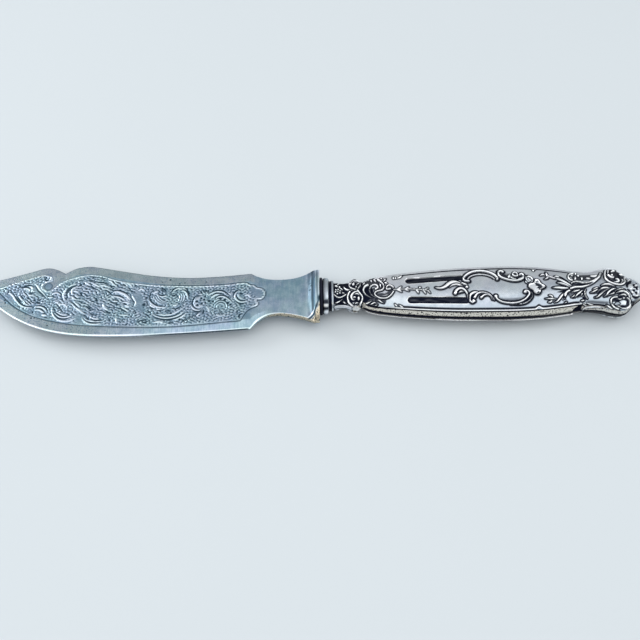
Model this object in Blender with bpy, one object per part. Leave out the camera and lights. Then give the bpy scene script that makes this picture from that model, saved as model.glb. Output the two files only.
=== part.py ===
"""Spreader knife: a forged blade cemented into a hollow handle of two stamped silver halves.

Metres, +Z up. The tip points to -X, the spine to +Y, and the show side faces +Z.
Every piece is laid out from the knife's axis, with x = 0 at the handle side of the bolster flange.
"""
import math

import bmesh
import bpy

# Bolster flange and neck, forged in one with the blade
FLANGE_WIDTH = 0.0180
FLANGE_DEPTH = 0.0088
FLANGE_RIM = 0.0012
FLANGE_FILLET = 0.0030
NECK_FLARE = 0.0113
NECK_RISE = 0.0055
NECK_DROP = 0.0062
NECK_THICKNESS = 0.0018
SHOULDER_FLARE = 0.0081

# Blade, measured from the flange and from the knife's axis
BLADE_LENGTH = 0.1030
SHOULDER_RISE = 0.0080
SHOULDER_DROP = 0.0108
SPINE_RISE = 0.0114
EDGE_DROP = 0.0125
TIP_RISE = 0.0052
TIP_WIDTH = 0.0008
BLADE_THICKNESS = 0.0016
SPINE_THICKNESS = 0.0011
EDGE_THICKNESS = 0.0004
SPINE_BEVEL = 0.0027
EDGE_BEVEL = 0.0030

# Tang inside the handle, and the pitch that covers it at the mouth
TANG_LENGTH = 0.0420
TANG_WIDTH = 0.0050
TANG_THICKNESS = 0.0021
TANG_TAPER_SHARE = 0.6
PITCH_AT_SIDES = 0.0007
PITCH_AT_FACES = 0.00085

# Hollow handle
HANDLE_LENGTH = 0.0970
HANDLE_WIDTH = 0.0175
HANDLE_DEPTH = 0.0088
HANDLE_END_WIDTH = 0.0020
HANDLE_END_DEPTH = 0.0018
BORDER_INSET = 0.0011
SHELL_WALL = 0.0008

# Moulded ferrule round the mouth: collar, groove and band
CEMENT_LINE = 0.0010
CEMENT_SINK = 0.0003
COLLAR_LENGTH = 0.0020
COLLAR_SIDE_RISE = 0.0013
COLLAR_FACE_RISE = 0.0007
COLLAR_ROUND = 0.0004
GROOVE_LENGTH = 0.0004
GROOVE_RISE = 0.0002
BAND_LENGTH = 0.0008
BAND_SIDE_RISE = 0.00045
BAND_FACE_RISE = 0.00025

# Fits
SOLDER_THICKNESS = 0.0003
SOLDER_RECESS = 0.0001
BEDDING_GAP = 0.0003

# Sizes that follow from the ones above
NECK_SETBACK = FLANGE_RIM + NECK_FLARE
SHOULDER_SETBACK = NECK_SETBACK + SHOULDER_FLARE
MOUTH_WALL = BEDDING_GAP + SHELL_WALL
MOUTH_WIDTH = TANG_WIDTH + 2 * (BEDDING_GAP + PITCH_AT_SIDES + MOUTH_WALL)
MOUTH_DEPTH = TANG_THICKNESS + 2 * (BEDDING_GAP + PITCH_AT_FACES + MOUTH_WALL)
COLLAR_WIDTH = MOUTH_WIDTH + 2 * COLLAR_SIDE_RISE
COLLAR_DEPTH = MOUTH_DEPTH + 2 * COLLAR_FACE_RISE
FERRULE_LENGTH = COLLAR_LENGTH + GROOVE_LENGTH + BAND_LENGTH
MOUTH = CEMENT_LINE + FERRULE_LENGTH

# Spine from the shoulder to the notch, then on to the tip:
# share of the way to the tip, and share of the rise to the hump
NOTCH_SPINE_SHARES = [(0.115, 0.627), (0.236, 0.601), (0.357, 0.680), (0.479, 0.842),
                      (0.576, 0.982), (0.606, 1.0), (0.650, 0.938), (0.685, 0.790)]
TIP_SPINE_SHARES = [(0.685, 0.790), (0.720, 0.920), (0.755, 0.970), (0.818, 0.842), (0.903, 0.658)]
EDGE_BELLY_SHARE = 0.417
EDGE_HEEL_CURVE = 1.55
EDGE_SWEEP_CURVE = 3.3

# How sharply each side of the neck turns out to the shoulder and to the flange
NECK_UPPER_CURVES = (2.2, 2.6)
NECK_LOWER_CURVES = (2.3, 1.75)
BEVEL_FADE_SHARE = 1 / 3

# Neck of the handle: share of its length, then shares of the mouth's half width and half depth
HANDLE_NECK_SHARES = [(0.024, 0.913, 0.88), (0.043, 0.951, 0.93), (0.069, 1.198, 1.09), (0.089, 1.0, 0.905)]

# Body and scrolled end at the seam: share of the length, and share of the greatest half width
HANDLE_BODY_SHARES = [(0.119, 0.640), (0.151, 0.720), (0.216, 0.817), (0.280, 0.886), (0.345, 0.937),
                      (0.410, 0.972), (0.539, 1.0), (0.603, 0.989), (0.668, 0.943), (0.733, 0.852),
                      (0.781, 0.772), (0.817, 0.752)]
UPPER_VOLUTE_SHARES = [(0.862, 0.840), (0.889, 0.875), (0.908, 0.850), (0.927, 0.735), (0.938, 0.590),
                       (0.949, 0.520), (0.962, 0.500), (0.978, 0.412), (0.991, 0.260)]
LOWER_VOLUTE_SHARES = [(0.852, 0.790), (0.880, 0.880), (0.898, 0.922), (0.915, 0.935), (0.930, 0.880),
                       (0.947, 0.710), (0.960, 0.575), (0.977, 0.430), (0.992, 0.292)]

# Depth along the middle: share of the length, and share of the greatest half depth
HANDLE_SWELL_SHARES = [(0.151, 0.74), (0.280, 0.84), (0.410, 0.94), (0.539, 1.0), (0.668, 0.97),
                       (0.800, 0.88), (0.880, 0.93), (0.920, 0.90), (0.955, 0.74), (0.985, 0.48)]
BORDER_SHARE = 0.68
BORDER_LIMIT_SHARE = 0.3

# Fineness of the facets
COLUMNS = 16
BLADE_STATIONS = 40
NECK_STATIONS = 12
FILLET_STATIONS = 6
TERMINAL_STATIONS = 16
SHARP_ANGLE = math.radians(30)


def smooth_curve(points, position):
    """Value at a position of a smooth curve through points sorted by position."""
    last = len(points) - 1
    for index in range(last):
        if position <= points[index + 1][0]:
            break
    before = points[max(index - 1, 0)]
    start = points[index]
    end = points[index + 1]
    after = points[min(index + 2, last)]
    span = end[0] - start[0]
    slope_start = (end[1] - before[1]) / (end[0] - before[0]) * span
    slope_end = (after[1] - start[1]) / (after[0] - start[0]) * span
    t = min(max((position - start[0]) / span, 0.0), 1.0)
    rise = end[1] - start[1]
    return (start[1] + slope_start * t + (3 * rise - 2 * slope_start - slope_end) * t ** 2
            + (slope_start + slope_end - 2 * rise) * t ** 3)


def spine_height(u):
    """Height of the spine over the axis, u from 0 at the shoulder to 1 at the tip."""
    notch = NOTCH_SPINE_SHARES[-1][0]
    if u <= notch:
        points = [(0.0, SHOULDER_RISE)] + [(at, share * SPINE_RISE) for at, share in NOTCH_SPINE_SHARES]
    else:
        points = [(at, share * SPINE_RISE) for at, share in TIP_SPINE_SHARES]
        points.append((1.0, TIP_RISE + TIP_WIDTH / 2))
    return smooth_curve(points, u)


def edge_height(u):
    """Height of the edge, below the axis except where it sweeps up to the tip."""
    if u < EDGE_BELLY_SHARE:
        return -EDGE_DROP + (EDGE_DROP - SHOULDER_DROP) * (1 - u / EDGE_BELLY_SHARE) ** EDGE_HEEL_CURVE
    sweep = ((u - EDGE_BELLY_SHARE) / (1 - EDGE_BELLY_SHARE)) ** EDGE_SWEEP_CURVE
    return -EDGE_DROP + (EDGE_DROP + TIP_RISE - TIP_WIDTH / 2) * sweep


def neck_side(x, neck, shoulder, curves):
    """Distance of one side of the neck from the axis, drawn in between shoulder and flange."""
    to_shoulder, to_flange = curves
    if -x > NECK_SETBACK:
        share = (-x - NECK_SETBACK) / SHOULDER_FLARE
        return neck + (shoulder - neck) * share ** to_shoulder
    share = (NECK_SETBACK + x) / NECK_FLARE
    return neck + (FLANGE_WIDTH / 2 - neck) * share ** to_flange


def neck_outline(x):
    """Lower and upper side of the neck at x."""
    lower = neck_side(x, NECK_DROP, SHOULDER_DROP, NECK_LOWER_CURVES)
    upper = neck_side(x, NECK_RISE, SHOULDER_RISE, NECK_UPPER_CURVES)
    return -lower, upper


def ring(x, columns):
    """Closed section at x: its front columns, then the same columns on the back."""
    front = [(x, y, z) for y, z in columns]
    back = [(x, y, -z) for y, z in reversed(columns)]
    return front + back


def oval_columns(half_width, half_depth):
    """Front half of an oval, from the edge side to the spine side."""
    angles = [math.pi * (index + 0.5) / COLUMNS for index in range(COLUMNS)]
    return [(-half_width * math.cos(angle), half_depth * math.sin(angle)) for angle in angles]


def bar_columns(lower, upper, half_depth):
    """Front half of a rectangular bar."""
    step = (upper - lower) / (COLUMNS - 1)
    return [(lower + step * index, half_depth) for index in range(COLUMNS)]


def blade_columns(lower, upper):
    """Front half of the blade's section: flat, with a bevel to the edge and one to the spine."""
    width = upper - lower
    flat_lower = lower + min(EDGE_BEVEL, width / 3)
    flat_upper = upper - min(SPINE_BEVEL, width / 3)
    step = (flat_upper - flat_lower) / (COLUMNS - 3)
    flat = [(flat_lower + step * index, BLADE_THICKNESS / 2) for index in range(COLUMNS - 2)]
    return [(lower, EDGE_THICKNESS / 2)] + flat + [(upper, SPINE_THICKNESS / 2)]


def mixed_columns(first, second, share):
    """Section part of the way from one section to another."""
    return [(y0 + (y1 - y0) * share, z0 + (z1 - z0) * share)
            for (y0, z0), (y1, z1) in zip(first, second)]


def handle_sides(u):
    """Lower and upper half width of the handle at the seam, u from 0 at the mouth to 1 at the end."""
    neck = [(0.0, MOUTH_WIDTH / 2)]
    neck += [(at, wide * MOUTH_WIDTH / 2) for at, wide, deep in HANDLE_NECK_SHARES]
    sides = []
    for volute in (LOWER_VOLUTE_SHARES, UPPER_VOLUTE_SHARES):
        body = [(at, share * HANDLE_WIDTH / 2) for at, share in HANDLE_BODY_SHARES + volute]
        sides.append(smooth_curve(neck + body + [(1.0, HANDLE_END_WIDTH / 2)], u))
    return sides


def handle_crown(u):
    """Half depth of the handle along its middle."""
    neck = [(0.0, MOUTH_DEPTH / 2)]
    neck += [(at, deep * MOUTH_DEPTH / 2) for at, wide, deep in HANDLE_NECK_SHARES]
    body = [(at, share * HANDLE_DEPTH / 2) for at, share in HANDLE_SWELL_SHARES]
    return smooth_curve(neck + body + [(1.0, HANDLE_END_DEPTH / 2)], u)


def handle_columns(x, inset):
    """Front half of the handle's section at x, drawn in by an inset, its sides standing on the solder."""
    u = (x - MOUTH) / (HANDLE_LENGTH - MOUTH)
    seam = SOLDER_THICKNESS / 2
    lower, upper = [side - inset for side in handle_sides(u)]
    crown = handle_crown(u) - inset
    border = crown * BORDER_SHARE
    lower_border = lower - min(BORDER_INSET, lower * BORDER_LIMIT_SHARE)
    upper_border = upper - min(BORDER_INSET, upper * BORDER_LIMIT_SHARE)
    columns = [(-lower, seam), (-(lower + lower_border) / 2, (seam + border) / 2)]
    dome = COLUMNS - 4
    for index in range(dome):
        share = index / (dome - 1)
        across = 2 * share - 1
        y = -lower_border + (lower_border + upper_border) * share
        columns.append((y, border + (crown - border) * (1 - across ** 2)))
    columns.append(((upper + upper_border) / 2, (seam + border) / 2))
    columns.append((upper, seam))
    return columns


def handle_stations(inset):
    """Stations along the handle, close together at the neck and at the scrolled end."""
    marks = [0.0] + [point[0] for point in HANDLE_NECK_SHARES + HANDLE_BODY_SHARES]
    shares = []
    for before, after in zip(marks, marks[1:]):
        shares += [before, (before + after) / 2]
    step = (1 - marks[-1]) / TERMINAL_STATIONS
    shares += [marks[-1] + step * index for index in range(TERMINAL_STATIONS + 1)]
    return [MOUTH + (HANDLE_LENGTH - inset - MOUTH) * share for share in shares]


def add_loft(mesh, rings, closed=False):
    """Skin consecutive sections with quads. A loft that isn't closed on itself gets flat end faces."""
    rows = [[mesh.verts.new(point) for point in section] for section in rings]
    pairs = list(zip(rows, rows[1:]))
    if closed:
        pairs.append((rows[-1], rows[0]))
    for row, following in pairs:
        for index in range(len(row)):
            after = (index + 1) % len(row)
            mesh.faces.new((row[index], row[after], following[after], following[index]))
    if not closed:
        mesh.faces.new(rows[0])
        mesh.faces.new(rows[-1])


def add_strip(mesh, row, following):
    """Quads between two open rows of corners."""
    for index in range(len(row) - 1):
        mesh.faces.new((row[index], row[index + 1], following[index + 1], following[index]))


def finish(name, colour, metallic, roughness):
    """Principled material of one finish."""
    material = bpy.data.materials.new(name)
    material.use_nodes = True
    shader = material.node_tree.nodes["Principled BSDF"]
    shader.inputs["Base Color"].default_value = (*colour, 1.0)
    shader.inputs["Metallic"].default_value = metallic
    shader.inputs["Roughness"].default_value = roughness
    material.diffuse_color = (*colour, 1.0)
    return material


def make_object(name, mesh, material, root):
    """Turn a finished mesh into a named piece, facing out, with soft edges shaded smooth."""
    bmesh.ops.recalc_face_normals(mesh, faces=mesh.faces)
    data = bpy.data.meshes.new(name)
    mesh.to_mesh(data)
    mesh.free()
    data.materials.append(material)
    data.shade_smooth()
    data.set_sharp_from_angle(angle=SHARP_ANGLE)
    piece = bpy.data.objects.new(name, data)
    bpy.context.scene.collection.objects.link(piece)
    piece.parent = root
    return piece


def make_blade(root, plate):
    """Blade, neck, bolster flange and tang, one forging from the tip to the end of the tang."""
    sections = []
    reach = BLADE_LENGTH - SHOULDER_SETBACK
    marks = {index / BLADE_STATIONS for index in range(BLADE_STATIONS + 1)}
    marks |= {at for at, share in NOTCH_SPINE_SHARES + TIP_SPINE_SHARES}
    for u in sorted(marks, reverse=True):
        x = -SHOULDER_SETBACK - reach * u
        sections.append(ring(x, blade_columns(edge_height(u), spine_height(u))))
    neck_length = SHOULDER_SETBACK - FLANGE_RIM - FLANGE_FILLET
    for index in range(1, NECK_STATIONS + 1):
        share = index / NECK_STATIONS
        x = -SHOULDER_SETBACK + neck_length * share
        lower, upper = neck_outline(x)
        bar = bar_columns(lower, upper, NECK_THICKNESS / 2)
        columns = mixed_columns(blade_columns(lower, upper), bar, min(share / BEVEL_FADE_SHARE, 1.0))
        sections.append(ring(x, columns))
    flange = oval_columns(FLANGE_WIDTH / 2, FLANGE_DEPTH / 2)
    for index in range(1, FILLET_STATIONS + 1):
        angle = math.pi / 2 * index / FILLET_STATIONS
        x = -FLANGE_RIM - FLANGE_FILLET * (1 - math.sin(angle))
        lower, upper = neck_outline(x)
        bar = bar_columns(lower, upper, NECK_THICKNESS / 2)
        sections.append(ring(x, mixed_columns(bar, flange, 1 - math.cos(angle))))
    sections.append(ring(0.0, flange))
    for x, share in ((0.0, 1.0), (TANG_LENGTH, TANG_TAPER_SHARE)):
        half_width = TANG_WIDTH / 2 * share
        sections.append(ring(x, bar_columns(-half_width, half_width, TANG_THICKNESS / 2 * share)))
    mesh = bmesh.new()
    add_loft(mesh, sections)
    return make_object("blade", mesh, plate, root)


def make_ferrule(root, silver):
    """Moulded ring soldered round the mouth: a broad collar, a groove and a narrow band."""
    half_width = MOUTH_WIDTH / 2
    half_depth = MOUTH_DEPTH / 2
    collar = (half_width + COLLAR_SIDE_RISE, half_depth + COLLAR_FACE_RISE)
    collar_rim = (collar[0] - COLLAR_ROUND, collar[1] - COLLAR_ROUND)
    groove = (half_width + GROOVE_RISE, half_depth + GROOVE_RISE)
    band = (half_width + BAND_SIDE_RISE, half_depth + BAND_FACE_RISE)
    bore = (half_width - SHELL_WALL / 2, half_depth - SHELL_WALL / 2)
    band_start = COLLAR_LENGTH + GROOVE_LENGTH
    profile = [(0.0, collar_rim), (COLLAR_ROUND, collar), (COLLAR_LENGTH - COLLAR_ROUND, collar),
               (COLLAR_LENGTH, collar_rim), (COLLAR_LENGTH, groove), (band_start, groove),
               (band_start + BAND_LENGTH / 2, band), (FERRULE_LENGTH, groove),
               (FERRULE_LENGTH, bore), (0.0, bore)]
    sections = [ring(CEMENT_LINE + along, oval_columns(*halves)) for along, halves in profile]
    mesh = bmesh.new()
    add_loft(mesh, sections, closed=True)
    return make_object("mouth_ferrule", mesh, silver, root)


def make_shell(name, side, root, silver):
    """One stamped half of the handle: side is 1 for the front half and -1 for the back half."""
    mesh = bmesh.new()
    skins = []
    for inset in (0.0, SHELL_WALL):
        rows = []
        for x in handle_stations(inset):
            rows.append([mesh.verts.new((x, y, side * z)) for y, z in handle_columns(x, inset)])
        skins.append(rows)
    for rows in skins:
        for row, following in zip(rows, rows[1:]):
            add_strip(mesh, row, following)
        mesh.faces.new(rows[-1])
    outer, inner = skins
    add_strip(mesh, outer[0], inner[0])
    for column in (0, -1):
        add_strip(mesh, [row[column] for row in outer], [row[column] for row in inner])
    mesh.faces.new((outer[-1][0], outer[-1][-1], inner[-1][-1], inner[-1][0]))
    return make_object(name, mesh, silver, root)


def make_solder(root, solder):
    """Thin line of solder between the two halves, from the mouth round the end and back."""
    half = SOLDER_THICKNESS / 2
    outer = [(x, handle_columns(x, SOLDER_RECESS)) for x in handle_stations(SOLDER_RECESS)]
    inner = [(x, handle_columns(x, SHELL_WALL)) for x in handle_stations(SHELL_WALL)]
    sections = []
    for column, order in ((0, 1), (-1, -1)):
        for (x_out, skin_out), (x_in, skin_in) in list(zip(outer, inner))[::order]:
            out = (x_out, skin_out[column][0])
            back = (x_in, skin_in[column][0])
            sections.append([(*out, -half), (*out, half), (*back, half), (*back, -half)])
    mesh = bmesh.new()
    add_loft(mesh, sections)
    return make_object("seam_solder", mesh, solder, root)


def make_filling(root, pitch):
    """Pitch cement that fills the handle, holds the tang and shows as the dark line behind the flange."""
    inset = SHELL_WALL + BEDDING_GAP
    socket = []
    for x, share in ((TANG_LENGTH + BEDDING_GAP, TANG_TAPER_SHARE), (0.0, 1.0)):
        half_width = TANG_WIDTH / 2 * share + BEDDING_GAP
        half_depth = TANG_THICKNESS / 2 * share + BEDDING_GAP
        socket.append(ring(x, bar_columns(-half_width, half_width, half_depth)))
    sink = COLLAR_ROUND + CEMENT_SINK
    rim = oval_columns(COLLAR_WIDTH / 2 - sink, COLLAR_DEPTH / 2 - sink)
    outside = [ring(0.0, rim), ring(CEMENT_LINE, rim), ring(CEMENT_LINE, handle_columns(MOUTH, inset))]
    outside += [ring(x, handle_columns(x, inset)) for x in handle_stations(inset)[::2]]
    mesh = bmesh.new()
    add_loft(mesh, socket + outside)
    return make_object("pitch_filling", mesh, pitch, root)


def stand_on_origin(root, pieces):
    """Place the knife so that its origin is at the bottom centre of its box."""
    corners = [vertex.co for piece in pieces for vertex in piece.data.vertices]
    lows = [min(corner[axis] for corner in corners) for axis in range(3)]
    highs = [max(corner[axis] for corner in corners) for axis in range(3)]
    root.location = (-(lows[0] + highs[0]) / 2, -(lows[1] + highs[1]) / 2, -lows[2])


for leftover in list(bpy.data.objects):
    bpy.data.objects.remove(leftover, do_unlink=True)

knife = bpy.data.objects.new("knife_axis", None)
bpy.context.scene.collection.objects.link(knife)
plate_finish = finish("worn_plate", (0.62, 0.65, 0.70), 1.0, 0.32)
silver_finish = finish("stamped_silver", (0.72, 0.72, 0.74), 1.0, 0.25)
solder_finish = finish("dark_solder", (0.22, 0.21, 0.21), 1.0, 0.5)
pitch_finish = finish("pitch_cement", (0.03, 0.025, 0.02), 0.0, 0.7)
knife_pieces = [
    make_blade(knife, plate_finish),
    make_ferrule(knife, silver_finish),
    make_shell("front_shell", 1, knife, silver_finish),
    make_shell("back_shell", -1, knife, silver_finish),
    make_solder(knife, solder_finish),
    make_filling(knife, pitch_finish),
]
stand_on_origin(knife, knife_pieces)
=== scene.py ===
import math

import bmesh
import bpy
import numpy as np
from mathutils import Matrix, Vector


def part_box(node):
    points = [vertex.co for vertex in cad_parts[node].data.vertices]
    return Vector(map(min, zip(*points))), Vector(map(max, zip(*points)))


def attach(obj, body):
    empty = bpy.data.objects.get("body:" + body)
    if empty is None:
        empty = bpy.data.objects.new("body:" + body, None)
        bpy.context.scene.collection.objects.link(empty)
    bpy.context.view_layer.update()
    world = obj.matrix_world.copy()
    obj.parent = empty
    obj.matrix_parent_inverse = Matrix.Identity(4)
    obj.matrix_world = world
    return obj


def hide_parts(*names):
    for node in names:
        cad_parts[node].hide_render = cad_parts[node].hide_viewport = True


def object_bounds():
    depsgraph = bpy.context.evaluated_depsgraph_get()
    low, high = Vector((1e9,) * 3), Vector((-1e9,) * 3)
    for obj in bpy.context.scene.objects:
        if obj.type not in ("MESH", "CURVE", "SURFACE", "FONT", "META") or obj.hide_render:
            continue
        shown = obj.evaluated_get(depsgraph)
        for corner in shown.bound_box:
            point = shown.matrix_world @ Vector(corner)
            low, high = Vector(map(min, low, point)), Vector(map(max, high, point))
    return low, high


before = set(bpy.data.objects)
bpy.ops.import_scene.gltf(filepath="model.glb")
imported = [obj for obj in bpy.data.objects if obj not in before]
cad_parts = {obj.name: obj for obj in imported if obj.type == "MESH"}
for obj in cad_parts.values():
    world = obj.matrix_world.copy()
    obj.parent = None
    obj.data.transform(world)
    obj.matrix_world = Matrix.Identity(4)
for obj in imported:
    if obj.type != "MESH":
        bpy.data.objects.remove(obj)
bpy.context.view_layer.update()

# Blade: one forging of nickel silver, silver plated, from the tip through neck and flange to the tang.
# Its show side is struck with a scrolled panel that leaves a plain bevel along the spine and the edge.
# The flange stops the handle, and the tang runs on into the pitch that holds it.
MM = 0.001
blade_low, blade_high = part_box("blade")
cement_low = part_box("pitch_filling")[0]
ferrule_low, ferrule_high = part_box("mouth_ferrule")
seam_low, seam_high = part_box("seam_solder")
AXIS = np.array([cement_low.x, (ferrule_low.y + ferrule_high.y) / 2, (seam_low.z + seam_high.z) / 2])
TIP_X = (blade_low.x - AXIS[0]) / MM
SPINE_RISE = (blade_high.y - AXIS[1]) / MM
EDGE_DROP = (AXIS[1] - blade_low.y) / MM
TANG_END = (blade_high.x - AXIS[0]) / MM
SHOULDER_X, NECK_X, FILLET_X, RIM_X = -20.6, -12.5, -4.2, -1.2
SHOULDER_RISE, SHOULDER_DROP, NECK_RISE, NECK_DROP = 8.0, 10.8, 5.5, 6.2
TIP_RISE, TIP_WIDTH = 5.2, 0.8
FLANGE_HALF_WIDTH, FLANGE_HALF_DEPTH, FLANGE_ROUND = 9.0, 4.4, 0.15
BLADE_HALF, SPINE_HALF, EDGE_HALF, NECK_HALF = 0.8, 0.55, 0.2, 0.9
SPINE_BEVEL, EDGE_BEVEL = 2.7, 3.0
TANG_HALF_WIDTH, TANG_HALF_DEPTH, TANG_TAPER = 2.5, 1.05, 0.6
NOTCH_SPINE = [(0.115, 0.627), (0.236, 0.601), (0.357, 0.680), (0.479, 0.842),
               (0.576, 0.982), (0.606, 1.0), (0.650, 0.938), (0.685, 0.790)]
TIP_SPINE = [(0.685, 0.790), (0.720, 0.920), (0.755, 0.970), (0.818, 0.842), (0.903, 0.658)]
BELLY, HEEL_CURVE, SWEEP_CURVE = 0.417, 1.55, 3.3
SHOULDER_CURVE_LOW, SHOULDER_CURVE_HIGH, FLARE_CURVE_LOW, FLARE_CURVE_HIGH = 2.3, 2.2, 1.75, 2.6
RIM_HALF, BEVEL_FADE = 0.2, 3
EDGE_SHARE, SPINE_SHARE, EDGE_HIGHLIGHT = 0.11, 0.89, 0.017
BLADE_ROWS, NECK_ROWS, FILLET_ROWS, FRONT_COLUMNS, BACK_COLUMNS = 474, 40, 26, 144, 22


def smooth_curve(points, positions):
    """Values at positions of a smooth curve through points sorted by position."""
    knots = np.array(points, float)
    positions = np.clip(positions, knots[0, 0], knots[-1, 0])
    index = np.clip(np.searchsorted(knots[:, 0], positions) - 1, 0, len(knots) - 2)
    before, start = knots[np.maximum(index - 1, 0)], knots[index]
    end, after = knots[index + 1], knots[np.minimum(index + 2, len(knots) - 1)]
    span = end[..., 0] - start[..., 0]
    rise = end[..., 1] - start[..., 1]
    slope_start = (end[..., 1] - before[..., 1]) / (end[..., 0] - before[..., 0]) * span
    slope_end = (after[..., 1] - start[..., 1]) / (after[..., 0] - start[..., 0]) * span
    t = (positions - start[..., 0]) / span
    return (start[..., 1] + slope_start * t + (3 * rise - 2 * slope_start - slope_end) * t ** 2
            + (slope_start + slope_end - 2 * rise) * t ** 3)


def blade_outline(x):
    """Lower and upper side of the blade or the neck at x."""
    if x < SHOULDER_X:
        u = (SHOULDER_X - x) / (SHOULDER_X - TIP_X)
        if u <= NOTCH_SPINE[-1][0]:
            spine = [(0.0, SHOULDER_RISE)] + [(at, share * SPINE_RISE) for at, share in NOTCH_SPINE]
        else:
            spine = [(at, share * SPINE_RISE) for at, share in TIP_SPINE] + [(1.0, TIP_RISE + TIP_WIDTH / 2)]
        if u < BELLY:
            edge = -EDGE_DROP + (EDGE_DROP - SHOULDER_DROP) * (1 - u / BELLY) ** HEEL_CURVE
        else:
            sweep = ((u - BELLY) / (1 - BELLY)) ** SWEEP_CURVE
            edge = -EDGE_DROP + (EDGE_DROP + TIP_RISE - TIP_WIDTH / 2) * sweep
        return edge, float(smooth_curve(spine, u))
    if x < NECK_X:
        share = (NECK_X - x) / (NECK_X - SHOULDER_X)
        return (-NECK_DROP - (SHOULDER_DROP - NECK_DROP) * share ** SHOULDER_CURVE_LOW,
                NECK_RISE + (SHOULDER_RISE - NECK_RISE) * share ** SHOULDER_CURVE_HIGH)
    share = (x - NECK_X) / (RIM_X - NECK_X)
    return (-NECK_DROP - (FLANGE_HALF_WIDTH - NECK_DROP) * share ** FLARE_CURVE_LOW,
            NECK_RISE + (FLANGE_HALF_WIDTH - NECK_RISE) * share ** FLARE_CURVE_HIGH)


def blade_section(x, share):
    """Heights across and out of the front of the forging at x, share 0 at the edge and 1 at the spine."""
    if x >= 0:
        narrowing = 1 - (1 - TANG_TAPER) * x / TANG_END
        tang_z = np.full(share.shape, TANG_HALF_DEPTH * narrowing)
        return TANG_HALF_WIDTH * narrowing * (2 * share - 1), tang_z
    inset = FLANGE_ROUND - math.sqrt(FLANGE_ROUND ** 2 - max(x + FLANGE_ROUND, 0) ** 2)
    oval_y = -(FLANGE_HALF_WIDTH - inset) * np.cos(math.pi * share)
    oval_z = np.maximum((FLANGE_HALF_DEPTH - inset) * np.sin(math.pi * share), RIM_HALF)
    if x >= RIM_X:
        return oval_y, oval_z
    lower, upper = blade_outline(x)
    bar_y = lower + (upper - lower) * share
    bar_z = np.full(share.shape, NECK_HALF)
    if x >= FILLET_X:
        turn = 1 - math.sqrt(1 - ((x - FILLET_X) / (RIM_X - FILLET_X)) ** 2)
        return bar_y + (oval_y - bar_y) * turn, bar_z + (oval_z - bar_z) * turn
    width = upper - lower
    marks = [0, EDGE_SHARE, SPINE_SHARE, 1]
    flat_lower = lower + min(EDGE_BEVEL, width / 3)
    flat_upper = upper - min(SPINE_BEVEL, width / 3)
    blade_y = np.interp(share, marks, [lower, flat_lower, flat_upper, upper])
    blade_z = np.interp(share, marks, [EDGE_HALF, BLADE_HALF, BLADE_HALF, SPINE_HALF])
    fade = np.clip((x - SHOULDER_X) / (FILLET_X - SHOULDER_X) * BEVEL_FADE, 0, 1)
    return blade_y + (bar_y - blade_y) * fade, blade_z + (bar_z - blade_z) * fade


class StruckFace:
    """A face as the die sees it: places in millimetres, height of the relief, soot and painted shade in it,
    polish and painted highlights on it.
    """

    def __init__(self, x, y):
        self.x = x
        self.y = y
        self.height = np.zeros_like(x)
        self.soot_and_shade = np.zeros_like(x)
        self.polish_and_highlight = np.zeros_like(x)


def along(points, step=0.08):
    """Places close together on a smooth curve through points, and each one's share of the way."""
    corners = np.array(points, float)
    padded = np.vstack([2 * corners[0] - corners[1], corners, 2 * corners[-1] - corners[-2]])
    places = []
    for a, b, c, d in zip(padded, padded[1:], padded[2:], padded[3:]):
        count = max(2, math.ceil(np.hypot(*(c - b)) / step))
        t = np.linspace(0, 1, count, endpoint=False)[:, None]
        places.append(b + (c - a) / 2 * t + (a - 2.5 * b + 2 * c - d / 2) * t ** 2
                      + (1.5 * (b - c) + (d - a) / 2) * t ** 3)
    places = np.vstack(places + [corners[-1:]])
    way = np.concatenate([[0], np.cumsum(np.hypot(*np.diff(places, axis=0).T))])
    return places, way / way[-1]


# Places of a stroke that are measured together, distance where no stroke is near, and least half width
RUN, FAR, THINNEST = 40, 1e3, 0.05


def leaf(width, *points):
    """Stroke that swells in its middle and thins towards both ends."""
    return ("leaf", width, points)


def comma(width, *points):
    """Stroke that thins from a round head to a tail."""
    return ("comma", width, points)


def cord(width, *points):
    """Stroke of one width."""
    return ("cord", width, points)


def bead(x, y, across):
    """Round bead as a very short cord."""
    return cord(across, (x - 0.02, y), (x + 0.02, y))


def taper(kind, share):
    """Relative width along a stroke."""
    if kind == "leaf":
        return np.sin(math.pi * (0.06 + 0.88 * share)) ** 0.8
    if kind == "comma":
        return 1 - 0.75 * share
    return np.ones_like(share)


def measure(face, strokes, margin):
    """Distance of every place from the sides of the strokes, negative inside, and their rounded crest."""
    edge = np.full(face.x.shape, FAR)
    crest = np.zeros_like(face.x)
    for kind, width, points in strokes:
        all_places, share = along(points)
        all_halves = np.maximum(width / 2 * taper(kind, share), THINNEST)
        reach = width / 2 + margin
        for start in range(0, len(all_places), RUN):
            places, half = all_places[start:start + RUN], all_halves[start:start + RUN]
            low, high = places.min(axis=0) - reach, places.max(axis=0) + reach
            inside = (face.x > low[0]) & (face.x < high[0]) & (face.y > low[1]) & (face.y < high[1])
            rows = np.flatnonzero(inside.any(axis=1))
            columns = np.flatnonzero(inside.any(axis=0))
            if rows.size == 0:
                continue
            window = (slice(rows[0], rows[-1] + 1), slice(columns[0], columns[-1] + 1))
            gap = np.hypot(face.x[window][..., None] - places[:, 0], face.y[window][..., None] - places[:, 1])
            edge[window] = np.minimum(edge[window], (gap - half).min(axis=-1))
            bulge = np.sqrt(np.clip(1 - (gap / half) ** 2, 0, 1)) * (0.4 + 0.6 * half / all_halves.max())
            crest[window] = np.maximum(crest[window], bulge.max(axis=-1))
    return edge, crest


def ease(value):
    """Smooth step from 0 to 1."""
    value = np.clip(value, 0, 1)
    return value ** 2 * (3 - 2 * value)


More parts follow.
